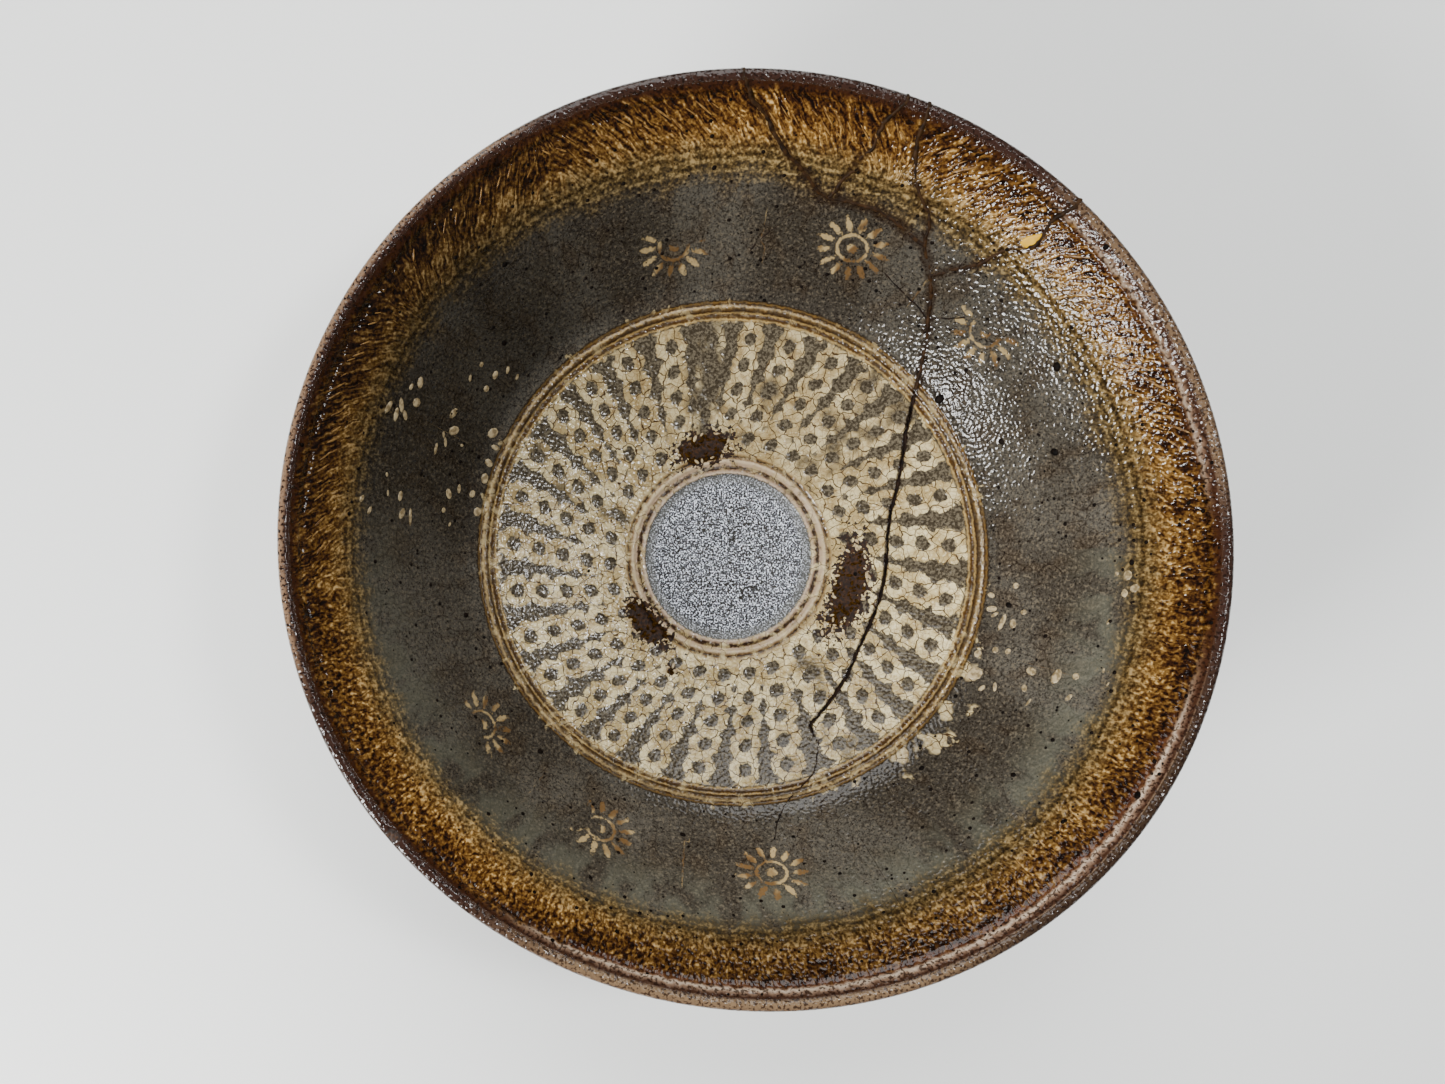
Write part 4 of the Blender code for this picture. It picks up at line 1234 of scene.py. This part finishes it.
def layScarGrit(finish, scrapFinish):
    chance = np.random.default_rng(gritForm["seed"])
    grit, scraps = ([], [], []), ([], [], [])
    for middle, angle, length, width in wadScars:
        for i in range(int(gritForm["perMm"] * length)):
            turn = chance.uniform(0, 2 * math.pi)
            scrap = chance.uniform() < gritForm["scrapShare"]
            out = (chance.uniform(*gritForm["scrapOut"]) if scrap
                   else math.sqrt(chance.uniform(0, gritForm["gritOut"])))
            size = chance.uniform(gritForm["least"], gritForm["most"])
            radii, turns, shapes = scraps if scrap else grit
            radii.append(middle + width * out * math.sin(turn))
            turns.append(angle + math.degrees(length * out * math.cos(turn) / middle))
            shapes.append(size * np.array(gritForm["shape"]))
    gritSpins = np.array(grit[1]) * gritForm["gritSpin"]
    scrapSpins = np.array(scraps[1]) * gritForm["scrapSpin"]
    return (
        pressPiece("scarGrit", finish, *grit, gritSpins, gritForm["gritLift"]),
        pressPiece("slipScraps", scrapFinish, *scraps, scrapSpins, gritForm["scrapLift"]),
    )


print("spots, strokes and grit")
iron = simpleFinish("ironBlack", (8, 6, 5), (20, 13, 9), 1.2, 0.6, shine=0.05)
paleSlip = simpleFinish("combedSlip", (92, 62, 28), (142, 108, 58), 0.8, 0.3)
burntGrit = simpleFinish("burntGrit", (32, 18, 1), (60, 38, 6), 1.5, 0.9, shine=0.05)
scrapSlip = simpleFinish("scrapSlip", (150, 128, 92), (188, 170, 134), 1.0, 0.35)
wornSlip = simpleFinish("wornSlip", (112, 96, 68), (172, 154, 118), 0.9, 0.25)
for piece in (layIronSpots(iron), strewSpecks(iron), layCombStrokes(paleSlip), laySlipDabs(wornSlip),
              *layScarGrit(burntGrit, scrapSlip)):
    finishPiece(piece, "glazed_stoneware")


# Resin fill in the lost corner of the right seam

fillForm = {
    "inset": 10.0, "angle": 47.3,
    "outline": ((-2.2, 1.5), (-0.3, 1.5), (1.3, 0.5), (2.6, -0.6), (1.3, -1.2), (-0.5, -1.5), (-2.0, -0.4)),
    "steps": ((1.0, -1.5), (1.0, 0.02), (0.95, 0.12), (0.8, 0.18), (0.4, 0.2)),  # share of the outline, lift
    "between": 5,
}


def makeFill(finish):
    outline = np.array(fillForm["outline"])
    count = len(outline)
    line = []
    for i in range(count):  # a smooth line through the corners
        a, b, d, e = (outline[(i + k) % count] for k in (-1, 0, 1, 2))
        for t in np.arange(fillForm["between"]) / fillForm["between"]:
            line.append(0.5 * (2 * b + (d - a) * t + (2 * a - 5 * b + 4 * d - e) * t * t
                               + (3 * b - a - 3 * d + e) * t ** 3))
    line = np.array(line)
    middle = line.mean(axis=0)
    radius = rim - fillForm["inset"]
    tilt = float(wallTilt(radius))
    turn = Matrix.Rotation(math.radians(fillForm["angle"]), 4, "Z")
    stand = Matrix.Translation((radius, 0, float(wallHeight(radius))))
    frameAt = turn @ stand @ Matrix.Rotation(-tilt, 4, "Y")
    shape = bmesh.new()
    rings = []
    for share, lift in fillForm["steps"]:
        ring = middle + (line - middle) * share
        rings.append([shape.verts.new(frameAt @ Vector((x, y, lift))) for x, y in ring])
    size = len(line)
    for low, high in zip(rings, rings[1:]):
        for i in range(size):
            shape.faces.new((low[i], low[(i + 1) % size], high[(i + 1) % size], high[i]))
    shape.faces.new(rings[0])
    shape.faces.new(rings[-1])
    bmesh.ops.recalc_face_normals(shape, faces=shape.faces[:])
    mesh = bpy.data.meshes.new("resinFill")
    for vertex in shape.verts:
        vertex.co = Vector(placed(np.array(vertex.co)) * mm)
    shape.to_mesh(mesh)
    shape.free()
    mesh.shade_smooth()
    mesh.set_sharp_from_angle(angle=math.radians(50))
    mesh.materials.append(finish)
    return putIn("resinFill", mesh)


print("resin fill")
resin = simpleFinish("yellowResin", (196, 148, 0), (212, 164, 2), 0.4, 0.45, shine=0.2)
finishPiece(makeFill(resin), "yellow_filler", "yellow_fill")


# Table, light and camera

studio = {
    "tableSize": 3.0, "skyStrength": 0.25, "lightsAimAt": (0, 0, 0.04),
    "lights": {  # where, power in watts, size
        "windowSide": ((-0.62, -0.46, 0.44), 13.5, 0.24),
        "roomSide": ((0.42, 0.08, 0.85), 4.5, 0.16),
        "farSide": ((-0.1, 0.75, 0.8), 12.0, 0.8),
    },
}


def addLight(name, place, power, size):
    data = bpy.data.lights.new(name, "AREA")
    data.energy = power
    data.size = size
    light = putIn(name, data)
    light.location = place
    light.rotation_euler = (Vector(studio["lightsAimAt"]) - Vector(place)).to_track_quat("-Z", "Y").to_euler()


def setStage():
    bpy.ops.mesh.primitive_plane_add(size=studio["tableSize"])
    table = bpy.context.object
    table.name = "paleTable"
    finish, tree, shader, where = newFinish("palePaint")
    shader.inputs["Base Color"].default_value = paint(244, 245, 242)
    shader.inputs["Roughness"].default_value = 0.6
    table.data.materials.append(finish)

    world = bpy.data.worlds.new("softRoom")
    bpy.context.scene.world = world
    world.use_nodes = True
    sky = world.node_tree.nodes["Background"]
    sky.inputs["Color"].default_value = (0.9, 0.95, 1, 1)
    sky.inputs["Strength"].default_value = studio["skyStrength"]
    for name, (place, power, size) in studio["lights"].items():
        addLight(name, place, power, size)


def setCamera():
    width, height = photoView["pixels"]
    lens = bpy.data.cameras.new("photoCamera")
    lens.sensor_width = 36
    lens.lens = 36 * photoView["focalPixels"] / width
    lens.shift_x = (width / 2 - photoView["plumbPixel"][0]) / width
    lens.shift_y = (photoView["plumbPixel"][1] - height / 2) / width
    lens.clip_start = 0.01
    camera = putIn("photoCamera", lens)
    x, y, z = photoView["lensAt"]
    camera.location = ((x - middleX) * mm, (y - middleY) * mm, z * mm)
    bpy.context.scene.camera = camera


setStage()
setCamera()
print("stage and camera set")
